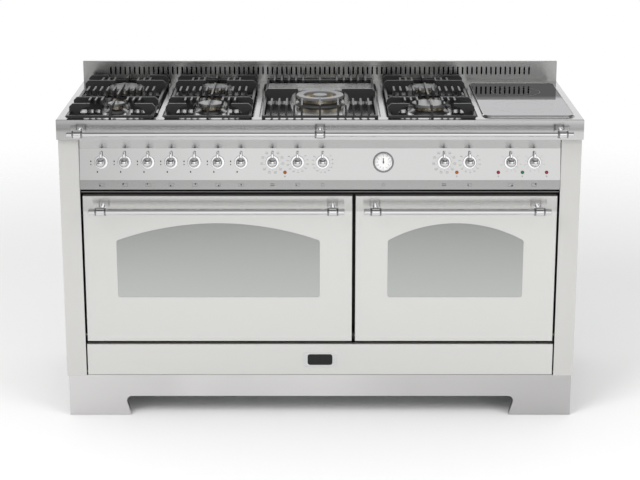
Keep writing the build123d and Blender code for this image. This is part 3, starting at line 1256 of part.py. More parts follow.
def main():
    """Write every node of the cooker."""
    os.makedirs("parts", exist_ok=True)
    right_side = side_panel()
    save("side_panels", right_side, mirrored(right_side))
    save("rear_panel", rear_panel())
    save("base_tray", base_tray())
    save("plinth", plinth())
    save("levelling_feet", *levelling_feet())
    save("front_frame", *front_frame(), hinge_fin(), vent_strip())
    save("hinge_pins", *hinge_pins())
    save("left_oven_cavity", oven_cavity(LEFT_CAVITY))
    save("right_oven_cavity", oven_cavity(RIGHT_CAVITY))
    save("oven_gaskets", *[gasket(edges) for edges in CAVITIES])
    save("oven_racks", *[oven_rack(edges) for edges in CAVITIES])
    save("heating_elements", *[heating_element(edges) for edges in CAVITIES])
    save("fan_motors", *[fan_motor(edges) for edges in CAVITIES])
    save("fan_covers", *[fan_cover(edges) for edges in CAVITIES])
    save("left_fan", oven_fan(LEFT_CAVITY))
    save("right_fan", oven_fan(RIGHT_CAVITY))
    for side, edges in (("left", LEFT_DOOR), ("right", RIGHT_DOOR)):
        save(f"{side}_door_skin", door_skin(edges))
        save(f"{side}_door_panes", *door_panes(edges))
        save(f"{side}_door_liner", door_liner(edges))
        save(f"{side}_door_handle", *door_handle(edges))
    save("storage_flap", storage_flap())
    save("badge_plate", badge_plate())
    save("control_fascia", control_fascia())
    save("gas_manifold", gas_manifold(), *[on_face(x, KNOB_UP, gas_tap()) for x in GAS_XS])
    save("control_switches", *[on_face(x, KNOB_UP, control_switch()) for x in SWITCH_XS.values()])
    save("indicator_lamps", *[on_face(x, LAMP_UP, indicator_lamp()) for x in LAMP_XS])
    save("dial_case", on_face(DIAL_X, KNOB_UP, dial_case()))
    save("dial_glass", on_face(DIAL_X, KNOB_UP, dial_glass()))
    save("dial_pointer", on_face(DIAL_X, KNOB_UP, dial_pointer()))
    for name, x in KNOB_XS.items():
        save(name, on_face(x, KNOB_UP, knob()))
    save("worktop", worktop())
    save("upstand", upstand())
    save("towel_rail", *towel_rail())
    save("hob_glass", hob_glass())
    save("radiant_heaters", *radiant_heaters())
    save("burner_cups", *[burner_cup(*burner) for burner in BURNERS])
    save("burner_heads", *[burner_head(*burner) for burner in BURNERS])
    save("burner_caps", *[cap for burner in BURNERS for cap in burner_caps(*burner)])
    save("igniters", *[igniter(*burner) for burner in BURNERS])
    save("grate_1", two_burner_grate(PAN_1))
    save("grate_2", two_burner_grate(PAN_2))
    save("grate_wok", wok_grate(WOK_PAN))
    save("grate_4", two_burner_grate(PAN_4))


main()
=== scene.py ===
import json
import math

import bmesh
import bpy
from mathutils import Matrix, Vector


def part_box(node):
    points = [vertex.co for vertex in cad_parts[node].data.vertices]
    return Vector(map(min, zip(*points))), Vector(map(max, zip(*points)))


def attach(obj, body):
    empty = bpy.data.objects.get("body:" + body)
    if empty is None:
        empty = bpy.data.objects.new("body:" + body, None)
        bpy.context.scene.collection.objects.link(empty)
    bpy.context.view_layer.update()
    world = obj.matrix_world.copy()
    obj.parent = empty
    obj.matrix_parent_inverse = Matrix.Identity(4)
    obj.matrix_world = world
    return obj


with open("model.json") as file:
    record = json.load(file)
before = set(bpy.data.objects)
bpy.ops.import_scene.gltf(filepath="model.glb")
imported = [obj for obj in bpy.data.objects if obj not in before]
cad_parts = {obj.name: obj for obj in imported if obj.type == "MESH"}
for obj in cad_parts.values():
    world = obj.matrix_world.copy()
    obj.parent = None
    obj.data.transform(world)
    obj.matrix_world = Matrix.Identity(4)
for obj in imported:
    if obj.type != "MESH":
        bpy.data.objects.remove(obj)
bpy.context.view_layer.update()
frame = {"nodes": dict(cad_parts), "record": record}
NODES = frame["nodes"]


def centre_x(node):
    """The middle of a CAD node along the cooker."""
    low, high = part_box(node)
    return (low.x + high.x) / 2


# Places on the cooker, in metres

HALF_WIDTH = 0.75
LIP_Y = -0.2715
WORKTOP_TOP = 0.910
FASCIA_BOTTOM = 0.695
STRIP_BOTTOM = 0.8155
DOOR_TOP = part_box("left_door_skin")[1].z
# Where the door's band above the handle, with its painted reflection of the handle, begins and where it is
# at its full
BAND_FOOT = DOOR_TOP - 0.05
BAND_FULL = DOOR_TOP - 0.042

# The tilted control face: its foot, its rise, its lean over that rise, and how high things sit on it
FACE_Y = LIP_Y + 0.012
FACE_BOTTOM = 0.725
FACE_RISE = 0.09
FACE_LEAN = 0.014
FACE_TILT = math.atan2(FACE_LEAN, FACE_RISE)
KNOB_UP = 0.051
LAMP_UP = 0.022
LAMP_STEP = 0.0355
# The height of the small signs on the upright strip below that face
MARKS_Z = 0.711

GAS_XS = [centre_x(f"knob_burner_{i}") for i in range(1, 8)]
LEFT_OVEN_XS = [centre_x(f"knob_left_oven_{use}") for use in ("function", "thermostat", "timer")]
RIGHT_OVEN_XS = [centre_x(f"knob_right_oven_{use}") for use in ("function", "thermostat")]
ZONE_XS = [centre_x("knob_front_zone"), centre_x("knob_rear_zone")]
LAMP_XS = [sum(LEFT_OVEN_XS[:2]) / 2, sum(RIGHT_OVEN_XS) / 2, ZONE_XS[0] - LAMP_STEP, sum(ZONE_XS) / 2,
           ZONE_XS[1] + LAMP_STEP]
DIAL_X = centre_x("dial_case")


# Tools for node trees

# Where most values of a noise lie
NOISE_SPAN = (0.3, 0.7)


def feed(tree, node, values):
    """Link or set sockets of a node, by name or by number."""
    for socket, value in values.items():
        if isinstance(value, bpy.types.NodeSocket):
            tree.links.new(value, node.inputs[socket])
        else:
            node.inputs[socket].default_value = value
    return node


def add_node(tree, kind, values, operation=None):
    """A new node with its sockets fed."""
    node = tree.nodes.new(kind)
    if operation:
        node.operation = operation
    return feed(tree, node, values)


def shader(name, colour, metallic, roughness):
    """A new material, its node tree and its shader."""
    mat = bpy.data.materials.new(name)
    mat.use_nodes = True
    tree = mat.node_tree
    bsdf = tree.nodes["Principled BSDF"]
    feed(tree, bsdf, {"Base Color": (*colour, 1), "Metallic": metallic, "Roughness": roughness})
    return mat, tree, bsdf


def grey(level):
    """A neutral colour."""
    return (level, level, level)


def mixed(tree, factor, first, second, blend="MIX"):
    """Two colours mixed by a factor."""
    node = tree.nodes.new("ShaderNodeMix")
    node.data_type = "RGBA"
    node.blend_type = blend
    feed(tree, node, {"Factor": factor, "A": first, "B": second})
    return node.outputs["Result"]


def carried(tree, value, source, target=(0, 1), smooth=False):
    """A value carried from one range to another and held at its ends."""
    node = add_node(tree, "ShaderNodeMapRange", {
        "Value": value,
        "From Min": source[0],
        "From Max": source[1],
        "To Min": target[0],
        "To Max": target[1],
    })
    if smooth:
        node.interpolation_type = "SMOOTHSTEP"
    return node.outputs["Result"]


def product(tree, first, second):
    """Two values multiplied."""
    return add_node(tree, "ShaderNodeMath", {0: first, 1: second}, "MULTIPLY").outputs["Value"]


def along(tree, axis):
    """The place on the part along one axis, in metres."""
    coord = tree.nodes.new("ShaderNodeTexCoord")
    return add_node(tree, "ShaderNodeSeparateXYZ", {"Vector": coord.outputs["Object"]}).outputs[axis]


def facing(tree, axis):
    """How far a face looks along one axis, from -1 to 1."""
    geometry = tree.nodes.new("ShaderNodeNewGeometry")
    return add_node(tree, "ShaderNodeSeparateXYZ", {"Vector": geometry.outputs["Normal"]}).outputs[axis]


def noise(tree, scale, detail):
    """Noise over the object's own coordinates, stretched by a scale for each axis."""
    coord = tree.nodes.new("ShaderNodeTexCoord")
    mapping = add_node(tree, "ShaderNodeMapping", {"Vector": coord.outputs["Object"], "Scale": scale})
    sockets = {"Vector": mapping.outputs["Vector"], "Scale": 1, "Detail": detail}
    return add_node(tree, "ShaderNodeTexNoise", sockets).outputs["Fac"]


def spread(tree, value, low, high):
    """A noise value carried from low to high."""
    return carried(tree, value, NOISE_SPAN, (low, high))


def tint(tree, value, dark, light):
    """A value from 0 to 1 turned into a colour between two."""
    return mixed(tree, value, (*dark, 1), (*light, 1))


def relief(tree, height, distance, strength):
    """A bump node for small relief."""
    return add_node(tree, "ShaderNodeBump", {"Height": height, "Distance": distance, "Strength": strength})


def bevelled(tree, radius):
    """A normal that rounds sharp edges a little, so that they catch the light."""
    node = add_node(tree, "ShaderNodeBevel", {"Radius": radius})
    node.samples = 4
    return node.outputs["Normal"]


def ramp(tree, value, stops, interpolation="EASE"):
    """A colour for every value from 0 to 1, from stops of place and colour."""
    node = add_node(tree, "ShaderNodeValToRGB", {"Fac": value})
    node.color_ramp.interpolation = interpolation
    elements = node.color_ramp.elements
    elements[0].position, elements[0].color = stops[0]
    elements[1].position, elements[1].color = stops[-1]
    for position, colour in stops[1:-1]:
        elements.new(position).color = colour
    return node.outputs["Color"]


def grey_ramp(tree, value, stops):
    """A grey for every value from 0 to 1, eased between the stops."""
    return ramp(tree, value, [(at, (*grey(level), 1)) for at, level in stops])


def band(tree, axis, stops):
    """A soft change of grey along one axis of the object, given as places in metres and greys."""
    first, last = stops[0][0], stops[-1][0]
    place = carried(tree, along(tree, axis), (first, last))
    return grey_ramp(tree, place, [((at - first) / (last - first), level) for at, level in stops])


# Steel

GRAIN_X = (1.0, 0.0, 0.0)
GRAIN_Z = (0.0, 0.0, 1.0)
GRAIN_FINE = 230
GRAIN_LONG = 1.5
# How the grain changes colour and roughness, as shares of both
GRAIN_DARK = 0.994
GRAIN_LIGHT = 1.004
GRAIN_SMOOTH = 0.98
GRAIN_ROUGH = 1.02
# The grain leans a little, so that faces across it have a direction too
GRAIN_LEAN = 0.01
EDGE_RADIUS = 0.0008
# Painted shade and painted reflections in the polish, as an axis with places and greys
# The doors: a painted reflection of the handle, as a darker band above it
DOOR_PAINTED_REFLECTION = ("Z", [(BAND_FOOT, 1.0), (BAND_FULL, 0.82), (DOOR_TOP - 0.02, 0.86), (DOOR_TOP, 0.95)])
# The control panel: painted shade, its face a little darker than its lower strip and darker than its upper
# strip
PANEL_PAINTED_SHADE = ("Z", [(0.697, 0.83), (0.722, 0.83), (0.728, 0.81), (0.812, 0.81), (0.818, 0.9),
                     (0.853, 0.9)])
# The lip: a painted reflection of the rail as a dark band across its middle, lighter below it
LIP_PAINTED_REFLECTION = ("Z", [(0.853, 1.12), (0.866, 1.08), (0.877, 0.68), (0.886, 0.76), (0.899, 1.0),
                   (WORKTOP_TOP, 1.0)])
# The worktop's faces that look up: painted shade, darkest on the pans under the grates
HOB_TOP_PAINTED_SHADE = ("Z", [(0.898, 0.22), (0.904, 0.22), (0.908, 0.41), (WORKTOP_TOP, 0.41)])
# The plinth: painted reflections of a room, as soft light and dark bands along it
PLINTH_PAINTED_REFLECTIONS = ("X", [(-HALF_WIDTH, 0.98), (-0.47, 0.93), (-0.37, 1.0), (-0.27, 0.97), (0.0, 1.0),
                      (0.3, 0.85), (HALF_WIDTH, 0.75)])
DOOR_ROUGHNESS = 0.26
BAND_ROUGHNESS = 0.16
PANEL_ROUGHNESS = 0.07
STRIP_ROUGHNESS = 0.2
STRIP_EDGE = 0.001
STRIP_LEAN = 0.33
# Folds of the side panels: a face's direction times its place along X, and the height over which their
# painted shade fades in
FOLD_INWARD = (-0.3, -0.5)
FOLD_FADE = 0.01
# The worktop's rim: how far above the worktop it begins, and the square of a face's direction along X
RIM_RISE = (0.0005, 0.001)
RIM_SLOPE = (0.45, 0.35)
# The inside of the upstand, which takes painted shade: how far behind its front, and how far a face looks to
# the front
SLOT_DEPTH = (0.001, 0.0015)
SLOT_FACING = (-0.5, -0.9)


def brushed(name, colour, roughness, grain, anisotropy, metallic=1.0, painted_shade=None, flat=None):
    """Steel brushed along one axis, which draws reflections out across the grain.

    The shade band multiplies the colour with painted shade and painted reflections, and the flat band gives
    the faces that look up a painted shade instead.
    """
    mat, tree, bsdf = shader(name, colour, metallic, roughness)
    lines = noise(tree, tuple(GRAIN_LONG if axis else GRAIN_FINE for axis in grain), 4.0)
    dark = tuple(c * GRAIN_DARK for c in colour)
    light = tuple(min(1, c * GRAIN_LIGHT) for c in colour)
    base = tint(tree, lines, dark, light)
    # Painted shade and painted reflections: greys that multiply the colour, and a painted shade for faces
    # that look up
    if painted_shade:
        base = mixed(tree, 1, base, band(tree, *painted_shade), "MULTIPLY")
    if flat:
        base = mixed(tree, facing(tree, "Z"), base, band(tree, *flat))
    normal = tree.nodes.new("ShaderNodeNewGeometry").outputs["Normal"]
    direction = tuple(axis + GRAIN_LEAN for axis in grain)
    across = add_node(tree, "ShaderNodeVectorMath", {0: normal, 1: direction}, "CROSS_PRODUCT")
    feed(tree, bsdf, {
        "Base Color": base,
        "Roughness": spread(tree, lines, roughness * GRAIN_SMOOTH, roughness * GRAIN_ROUGH),
        "Anisotropic": anisotropy,
        "Tangent": across.outputs["Vector"],
        "Normal": bevelled(tree, EDGE_RADIUS),
    })
    return mat


def darken(tree, amount):
    """Paint shade: turn a steel's colour nearly black by an amount from 0 to 1."""
    base = tree.nodes["Principled BSDF"].inputs["Base Color"]
    tree.links.new(mixed(tree, amount, base.links[0].from_socket, (*grey(0.02), 1)), base)


def change(tree, amount, socket, plain, other):
    """Let one number of a steel go from its plain value to another by an amount from 0 to 1."""
    feed(tree, tree.nodes["Principled BSDF"], {socket: carried(tree, amount, (0, 1), (plain, other))})


def door_steel():
    """Pale steel, smoother in the band above a door's handle, so that it mirrors the handle's posts, and
    painted darker there as a painted reflection of the handle.
    """
    mat = brushed("door_steel", (0.87, 0.868, 0.845), DOOR_ROUGHNESS, GRAIN_X, 0.75, 0.85, DOOR_PAINTED_REFLECTION)
    tree = mat.node_tree
    above = carried(tree, along(tree, "Z"), (BAND_FOOT, BAND_FULL))
    change(tree, above, "Roughness", DOOR_ROUGHNESS, BAND_ROUGHNESS)
    return mat


def side_steel():
    """Steel of the side panels, whose folds beside the doors are painted nearly black as shade."""
    mat = brushed("side_steel", (0.71, 0.705, 0.685), 0.32, GRAIN_Z, 0.6, 0.5)
    tree = mat.node_tree
    inward = carried(tree, product(tree, facing(tree, "X"), along(tree, "X")), FOLD_INWARD)
    low = carried(tree, along(tree, "Z"), (FASCIA_BOTTOM, FASCIA_BOTTOM - FOLD_FADE))
    darken(tree, product(tree, inward, low))
    return mat


def panel_steel():
    """Bright steel of the control panel, with painted shade that makes its face darker than its lower and
    upper strips; its upper strip is shaded as if it leaned over the knobs.
    """
    mat = brushed("panel_steel", (0.76, 0.76, 0.755), PANEL_ROUGHNESS, GRAIN_X, 0.9, 1.0, PANEL_PAINTED_SHADE)
    tree = mat.node_tree
    normal = tree.nodes["Principled BSDF"].inputs["Normal"]
    upper = carried(tree, along(tree, "Z"), (STRIP_BOTTOM, STRIP_BOTTOM + STRIP_EDGE))
    change(tree, upper, "Roughness", PANEL_ROUGHNESS, STRIP_ROUGHNESS)
    lean = add_node(tree, "ShaderNodeCombineXYZ", {"Z": carried(tree, upper, (0, 1), (0, -STRIP_LEAN))})
    both = {0: normal.links[0].from_socket, 1: lean.outputs["Vector"]}
    total = add_node(tree, "ShaderNodeVectorMath", both, "ADD")
    unit = add_node(tree, "ShaderNodeVectorMath", {0: total.outputs["Vector"]}, "NORMALIZE")
    tree.links.new(unit.outputs["Vector"], normal)
    return mat


def plinth_steel():
    """Steel of the plinth, with painted reflections of a room as soft greys along it."""
    return brushed("plinth_steel", (0.97, 0.955, 0.955), 0.24, GRAIN_X, 0.7, 1.0, PLINTH_PAINTED_REFLECTIONS)


def hob_steel():
    """Steel of the worktop, whose rim round the glass is matt, but for its slopes to the sides; its lip
    carries a painted reflection of the rail, and its faces that look up a painted shade, darkest on the
    pans.
    """
    mat = brushed("hob_steel", (0.88, 0.88, 0.875), 0.15, GRAIN_X, 0.4, 1.0, LIP_PAINTED_REFLECTION, HOB_TOP_PAINTED_SHADE)
    tree = mat.node_tree
    raised = carried(tree, along(tree, "Z"), [WORKTOP_TOP + rise for rise in RIM_RISE])
    sideways = product(tree, facing(tree, "X"), facing(tree, "X"))
    change(tree, product(tree, raised, carried(tree, sideways, RIM_SLOPE)), "Metallic", 1, 0)
    return mat


def upstand_steel():
    """Steel of the upstand, painted nearly black inside as shade, as seen through its slots."""
    mat = brushed("upstand_steel", (0.56, 0.56, 0.55), 0.2, GRAIN_X, 0.7)
    tree = mat.node_tree
    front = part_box("upstand")[0].y
    inside = carried(tree, along(tree, "Y"), [front + depth for depth in SLOT_DEPTH])
    darken(tree, product(tree, inside, carried(tree, facing(tree, "Y"), SLOT_FACING)))
    return mat


# Other materials

# How smears change the roughness of polished metal, as shares of it
SMEAR_SMOOTH = 0.8
SMEAR_ROUGH = 1.3
# Small relief: depth in metres and strength
MOTTLE_RELIEF = (0.0001, 0.15)
SAND_RELIEF = (0.0003, 0.3)
CASTING_EDGE = 0.0015
# Painted reflections on the glass hob and its ring print, as greys from the front edge to the back
GLASS_PAINTED_REFLECTION = [(-0.2335, 0.46), (0.0, 0.46), (0.06, 0.03), (0.2585, 0.02)]
ZONE_PRINT_PAINTED_REFLECTION = [(-0.2335, 0.42), (0.0, 0.42), (0.06, 0.2), (0.2585, 0.2)]
# The heights between which a door's pane darkens
WINDOW_FADE = (0.37, 0.60)
AMBER = (0.34, 0.09, 0.01, 1)
RED = (0.24, 0.008, 0.03, 1)
GREEN = (0.01, 0.13, 0.07, 1)
# The lamps' colours by place, from the left end (0) to the right end (1)
LAMP_COLOURS = [(0.0, AMBER), (0.80, RED), (0.864, GREEN), (0.91, RED)]


def polished(name, colour, roughness):
    """Bright plated or polished metal."""
    mat, tree, bsdf = shader(name, colour, 1.0, roughness)
    smears = noise(tree, (9, 9, 9), 2.0)
    feed(tree, bsdf, {"Roughness": spread(tree, smears, roughness * SMEAR_SMOOTH, roughness * SMEAR_ROUGH)})
    return mat


def enamel(name, dark, light, roughness, grain):
    """A fired, painted or moulded coat with a faint mottle."""
    mat, tree, bsdf = shader(name, light, 0.0, roughness)
    mottle = noise(tree, (grain, grain, grain), 3.0)
    grained = relief(tree, mottle, *MOTTLE_RELIEF)
    feed(tree, bsdf, {"Base Color": tint(tree, mottle, dark, light), "Normal": grained.outputs["Normal"]})
    return mat


def cast_iron():
    """Matt black enamel over a sand-cast surface."""
    mat, tree, bsdf = shader("cast_iron", grey(0.02), 0.0, 0.5)
    sand = noise(tree, (900, 900, 900), 4.0)
    grained = relief(tree, sand, *SAND_RELIEF)
    feed(tree, grained, {"Normal": bevelled(tree, CASTING_EDGE)})
    feed(tree, bsdf, {
        "Base Color": tint(tree, sand, grey(0.014), (0.028, 0.028, 0.029)),
        "Roughness": spread(tree, sand, 0.3, 0.48),
        "Normal": grained.outputs["Normal"],
    })
    return mat


def mirror_glass():
    """The grey-green reflecting pane of an oven door, darker towards its top."""
    mat, tree, bsdf = shader("door_glass", (0.45, 0.465, 0.45), 0.9, 0.1)
    haze = noise(tree, (3, 3, 3), 2.0)
    height = carried(tree, along(tree, "Z"), WINDOW_FADE)
    feed(tree, bsdf, {
        "Base Color": tint(tree, height, (0.62, 0.64, 0.62), (0.42, 0.437, 0.42)),
        "Roughness": spread(tree, haze, 0.08, 0.13),
    })
    return mat


def glass_ceramic():
    """The mirror-bright plate of the hotplates, with a painted reflection: light at the front and darker
    towards the back.
    """
    mat, tree, bsdf = shader("glass_ceramic", (0.36, 0.37, 0.367), 0.95, 0.03)
    speck = noise(tree, (700, 700, 700), 2.0)
    feed(tree, bsdf, {
        "Base Color": band(tree, "Y", GLASS_PAINTED_REFLECTION),
        "Roughness": spread(tree, speck, 0.025, 0.04),
        "Specular Tint": (0.55, 0.55, 0.56, 1),
    })
    return mat


def zone_print():
    """The hotplates' ring print, painted nearly as light as the plate towards the front, to follow the
    plate's painted reflection.
    """
    mat, tree, bsdf = shader("zone_print", grey(0.4), 0.0, 0.4)
    feed(tree, bsdf, {"Base Color": band(tree, "Y", ZONE_PRINT_PAINTED_REFLECTION)})
    return mat


def clear_glass():
    """The thin lens over the dial."""
    mat, tree, bsdf = shader("clear_glass", grey(1), 0.0, 0.02)
    haze = noise(tree, (40, 40, 40), 2.0)
    feed(tree, bsdf, {"Transmission Weight": 1.0, "IOR": 1.1, "Roughness": spread(tree, haze, 0.01, 0.03)})
    return mat


def lamp_plastic():
    """Lamp lenses whose colour goes by their place along the panel."""
    mat, tree, bsdf = shader("lamp_plastic", (0.8, 0.4, 0.05), 0.0, 0.12)
    place = carried(tree, along(tree, "X"), (-HALF_WIDTH, HALF_WIDTH))
    feed(tree, bsdf, {"Base Color": ramp(tree, place, LAMP_COLOURS, "CONSTANT"), "Coat Weight": 0.6})
    return mat


# Polished metals: colour and roughness
METALS = {
    "chrome": ((0.92, 0.92, 0.93), 0.05),
    # Chrome painted mid grey for the collars' beads, as a painted reflection of the dark room
    "bead_chrome_painted_reflection": ((0.42, 0.42, 0.43), 0.08),
    # Chrome painted dark grey for the dial case, as a painted reflection
    "dark_chrome_painted_reflection": ((0.26, 0.26, 0.265), 0.08),
    "pin_steel": ((0.35, 0.34, 0.33), 0.35),
    "light_alloy": (grey(0.78), 0.28),
    # Alloy painted dark for the burner cups, as painted shade under the grates
    "cup_alloy_painted_shade": (grey(0.26), 0.28),
    "burner_brass": ((0.88, 0.79, 0.62), 0.2),
}
# Coats: two colours, roughness and how fine the mottle is
COATS = {
    "galvanised": ((0.42, 0.44, 0.45), (0.52, 0.54, 0.55), 0.45, 30),
    "black_enamel": (grey(0.005), grey(0.009), 0.5, 60),
    "oven_enamel": ((0.03, 0.03, 0.034), (0.075, 0.075, 0.08), 0.3, 900),
    "cap_enamel": ((0.15, 0.15, 0.155), (0.18, 0.18, 0.185), 0.3, 200),
    "ceramic": ((0.75, 0.75, 0.73), (0.82, 0.82, 0.8), 0.4, 200),
    "seal_rubber": (grey(0.02), grey(0.04), 0.7, 300),
    "motor_paint": (grey(0.2), grey(0.3), 0.5, 200),
    "dark_plastic": (grey(0.02), grey(0.04), 0.5, 200),
    "pointer_black": (grey(0.015), grey(0.03), 0.4, 200),
    "print_dark": (grey(0.03), grey(0.05), 0.5, 400),
    "print_mid": (grey(0.06), grey(0.09), 0.5, 400),
    "dial_white": ((0.86, 0.86, 0.85), (0.9, 0.9, 0.89), 0.35, 60),
}
MATERIALS = {
    "door_steel": door_steel(),
    "side_steel": side_steel(),
    "panel_steel": panel_steel(),
    "plinth_steel": plinth_steel(),
    "hob_steel": hob_steel(),
    "upstand_steel": upstand_steel(),
    "cast_iron": cast_iron(),
    "door_glass": mirror_glass(),
    "glass_ceramic": glass_ceramic(),
    "zone_print": zone_print(),
    "clear_glass": clear_glass(),
    "lamp_plastic": lamp_plastic(),
}
for metal, look in METALS.items():
    MATERIALS[metal] = polished(metal, *look)
for coat, look in COATS.items():
    MATERIALS[coat] = enamel(coat, *look)

# A node's look is the one of its own name here, else the one of its slot
NODE_LOOKS = {"side_panels": "side_steel", "worktop": "hob_steel", "upstand": "upstand_steel",
              # the burner cups take alloy painted dark as painted shade under the grates
              "control_fascia": "panel_steel", "plinth": "plinth_steel", "burner_cups": "cup_alloy_painted_shade",
              # the dial case takes chrome painted dark as a painted reflection
              "dial_case": "dark_chrome_painted_reflection"}
SLOT_LOOKS = {"stainless": "door_steel"}


def dress_cad():
    """Give every CAD node its look."""
    for entry in frame["record"]["subparts"]:
        slot = entry["material_slot"]
        name = NODE_LOOKS.get(entry["node"], SLOT_LOOKS.get(slot, slot))
        data = NODES[entry["node"]].data
        data.materials.clear()
        data.materials.append(MATERIALS[name])


# Tools for added pieces

# How thick a print is
PRINT = 0.00012
# A plate's chamfer: a share of its thickness, and the most it may be
CHAMFER_SHARE = 0.3
CHAMFER_MOST = 0.0004
# A flame's outline, in shares of its height: half its height and width, and how its tip narrows
FLAME_HALF = 0.5
FLAME_WIDTH = 0.32
FLAME_TIP = 0.75
FLAME_POWER = 1.5


def shift(x, y, z=0.0):
    """A move within a place."""
    return Matrix.Translation((x, y, z))


def face_place(x, up, turn=0.0):
    """A place on the tilted control face: x along it, y up it, z out of it."""
    back = FACE_LEAN * up / FACE_RISE
    place = Matrix.Translation((x, FACE_Y + back, FACE_BOTTOM + up))
    return place @ Matrix.Rotation(math.pi / 2 - FACE_TILT, 4, "X") @ Matrix.Rotation(turn, 4, "Z")


def front_place(x, y, z):
    """A place on an upright front: x along it, y up, z towards the viewer."""
    return Matrix.Translation((x, y, z)) @ Matrix.Rotation(math.pi / 2, 4, "X")


def sign_place(x):
    """A place on the upright strip below the control face."""
    return front_place(x, FACE_Y, MARKS_Z)


def circle(radius, count=24):
    """Points round a circle."""
    angles = [2 * math.pi * i / count for i in range(count)]
    return [(radius * math.cos(angle), radius * math.sin(angle)) for angle in angles]


def bar(half, low, high):
    """The corners of a narrow upright bar."""
    return [(-half, low), (half, low), (half, high), (-half, high)]


def rounded_box(width, height, radius, count=5):
    """Points round a rectangle with rounded corners."""
    points = []
    for corner in range(4):
        sx = 1 if corner in (0, 3) else -1
        sy = 1 if corner in (0, 1) else -1
        for i in range(count + 1):
            angle = math.pi / 2 * (corner + i / count)
            points.append((sx * (width / 2 - radius) + radius * math.cos(angle),
                           sy * (height / 2 - radius) + radius * math.sin(angle)))
    return points


def flame(height, count=20):
    """Points round a small flame."""
    points = []
    for i in range(count):
        t = 2 * math.pi * i / count
        narrowing = 1 - FLAME_TIP * max(0, math.cos(t)) ** FLAME_POWER
        points.append((FLAME_WIDTH * height * math.sin(t) * narrowing, FLAME_HALF * height * math.cos(t)))
    return points


def flat_ring(inner, outer, thickness):
    """The profile of a thin flat ring."""
    return [(inner, 0), (outer, 0), (outer, thickness), (inner, thickness)]


def add_plate(bm, place, points, thickness=PRINT):
    """A flat plate with a small chamfer round its front."""
    chamfer = min(thickness * CHAMFER_SHARE, CHAMFER_MOST)
    centre = Vector((sum(p[0] for p in points) / len(points), sum(p[1] for p in points) / len(points)))
    rows = []
    for height, inset in ((0, 0), (thickness - chamfer, 0), (thickness, chamfer)):
        row = []
        for point in points:
            flat = Vector(point)
            away = flat - centre
            flat = flat - away * min(1, inset / max(away.length, 1e-6))
            row.append(bm.verts.new(place @ Vector((flat.x, flat.y, height))))
        rows.append(row)
    count = len(points)
    for low, high in zip(rows, rows[1:]):
        for i in range(count):
            j = (i + 1) % count
            bm.faces.new((low[i], low[j], high[j], high[i]))
    bm.faces.new(rows[-1])
    bm.faces.new(rows[0][::-1])


def add_ring(bm, place, profile, count):
    """A turned ring: a closed profile of radius and height, carried round."""
    rows = []
    for i in range(count):
        angle = 2 * math.pi * i / count
        rows.append([
            bm.verts.new(place @ Vector((r * math.cos(angle), r * math.sin(angle), z))) for r, z in profile
        ])
    for i in range(count):
        near = rows[i]
        far = rows[(i + 1) % count]
        for k in range(len(profile)):
            n = (k + 1) % len(profile)
            bm.faces.new((near[k], far[k], far[n], near[n]))


def add_frame(bm, place, width, height, line):
    """The thin outline of a rectangle."""
    for dx, dy, w, h in ((0, height / 2, width, line), (0, -height / 2, width, line),
                         (width / 2, 0, line, height), (-width / 2, 0, line, height)):
        add_plate(bm, place @ shift(dx, dy), rounded_box(w, h, line * 0.4, 2))


def add_number(bm, place, number, height):
    """A plain number, flat on a place, centred."""
    curve = bpy.data.curves.new("number", "FONT")
    curve.body = str(number)
    curve.size = height
    curve.align_x = "CENTER"
    curve.align_y = "CENTER"
    curve.extrude = PRINT / 2
    holder = bpy.data.objects.new("number", curve)
    bpy.context.scene.collection.objects.link(holder)
    bpy.context.view_layer.update()
    mesh = bpy.data.meshes.new_from_object(holder.evaluated_get(bpy.context.evaluated_depsgraph_get()))
    mesh.transform(place @ shift(0, 0, PRINT / 2))
    bm.from_mesh(mesh)
    bpy.data.objects.remove(holder)
    bpy.data.curves.remove(curve)
    bpy.data.meshes.remove(mesh)


def finish_piece(name, bm, look, body, smooth=False):
    """Turn collected shapes into one piece that rides on a body."""
    bmesh.ops.recalc_face_normals(bm, faces=bm.faces)
    mesh = bpy.data.meshes.new(name)
    bm.to_mesh(mesh)
    bm.free()
    if smooth:
        mesh.shade_smooth()
    mesh.materials.append(MATERIALS[look])
    obj = bpy.data.objects.new(name, mesh)
    bpy.context.scene.collection.objects.link(obj)
    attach(obj, body)


# Prints on the control panel

# Flames by a gas knob: how far left of it, how far up from it, and their height
GAS_FLAMES = ((0.030, 0.0025, 0.0058), (0.030, -0.0065, 0.0046), (0.0115, -0.0275, 0.0062))
OVEN_SCALE = range(50, 301, 25)
TIMER_SCALE = range(10, 121, 10)
ZONE_SCALE = range(1, 7)
# Scales run clockwise between two turns from the top, in radians
SCALE_FIRST = 0.9
SCALE_LAST = 5.3
SCALE_TICKS = 11
TICK = bar(0.0003, -0.0012, 0.0012)
TICK_REACH = 0.0245
NUMBER_REACH = 0.0292
NUMBER_HEIGHT = 0.0042
# The signs round a function knob: how many, where the first is, how far they sweep and how far out they are
SIGN_COUNT = 10
SIGN_FIRST = 0.55
SIGN_SWEEP = 5.18
SIGN_REACH = 0.0305
SIGN_LINES = (-0.0012, 0, 0.0012)
# Frames are given as width, height and line, bars as width, height, corner radius and corner steps
SIGN_FRAME = (0.0062, 0.0052, 0.0005)
SIGN_BAR = (0.0036, 0.0006, 0.0002, 2)
SIGN_STEPS = 24
DOT_STEPS = 16
LAMP_SIGN_DOWN = 0.0115
LAMP_SIGN_INNER = 0.0014
LAMP_SIGN_OUTER = 0.0019
# Columns and rows of the small plan of the hob
PLAN_OUTER = 0.0048
PLAN_INNER = 0.0022
PLAN_ROW = 0.0022
PLAN_DOT = 0.0022
PLAN_FRAME = (0.0145, 0.0095, 0.0006)
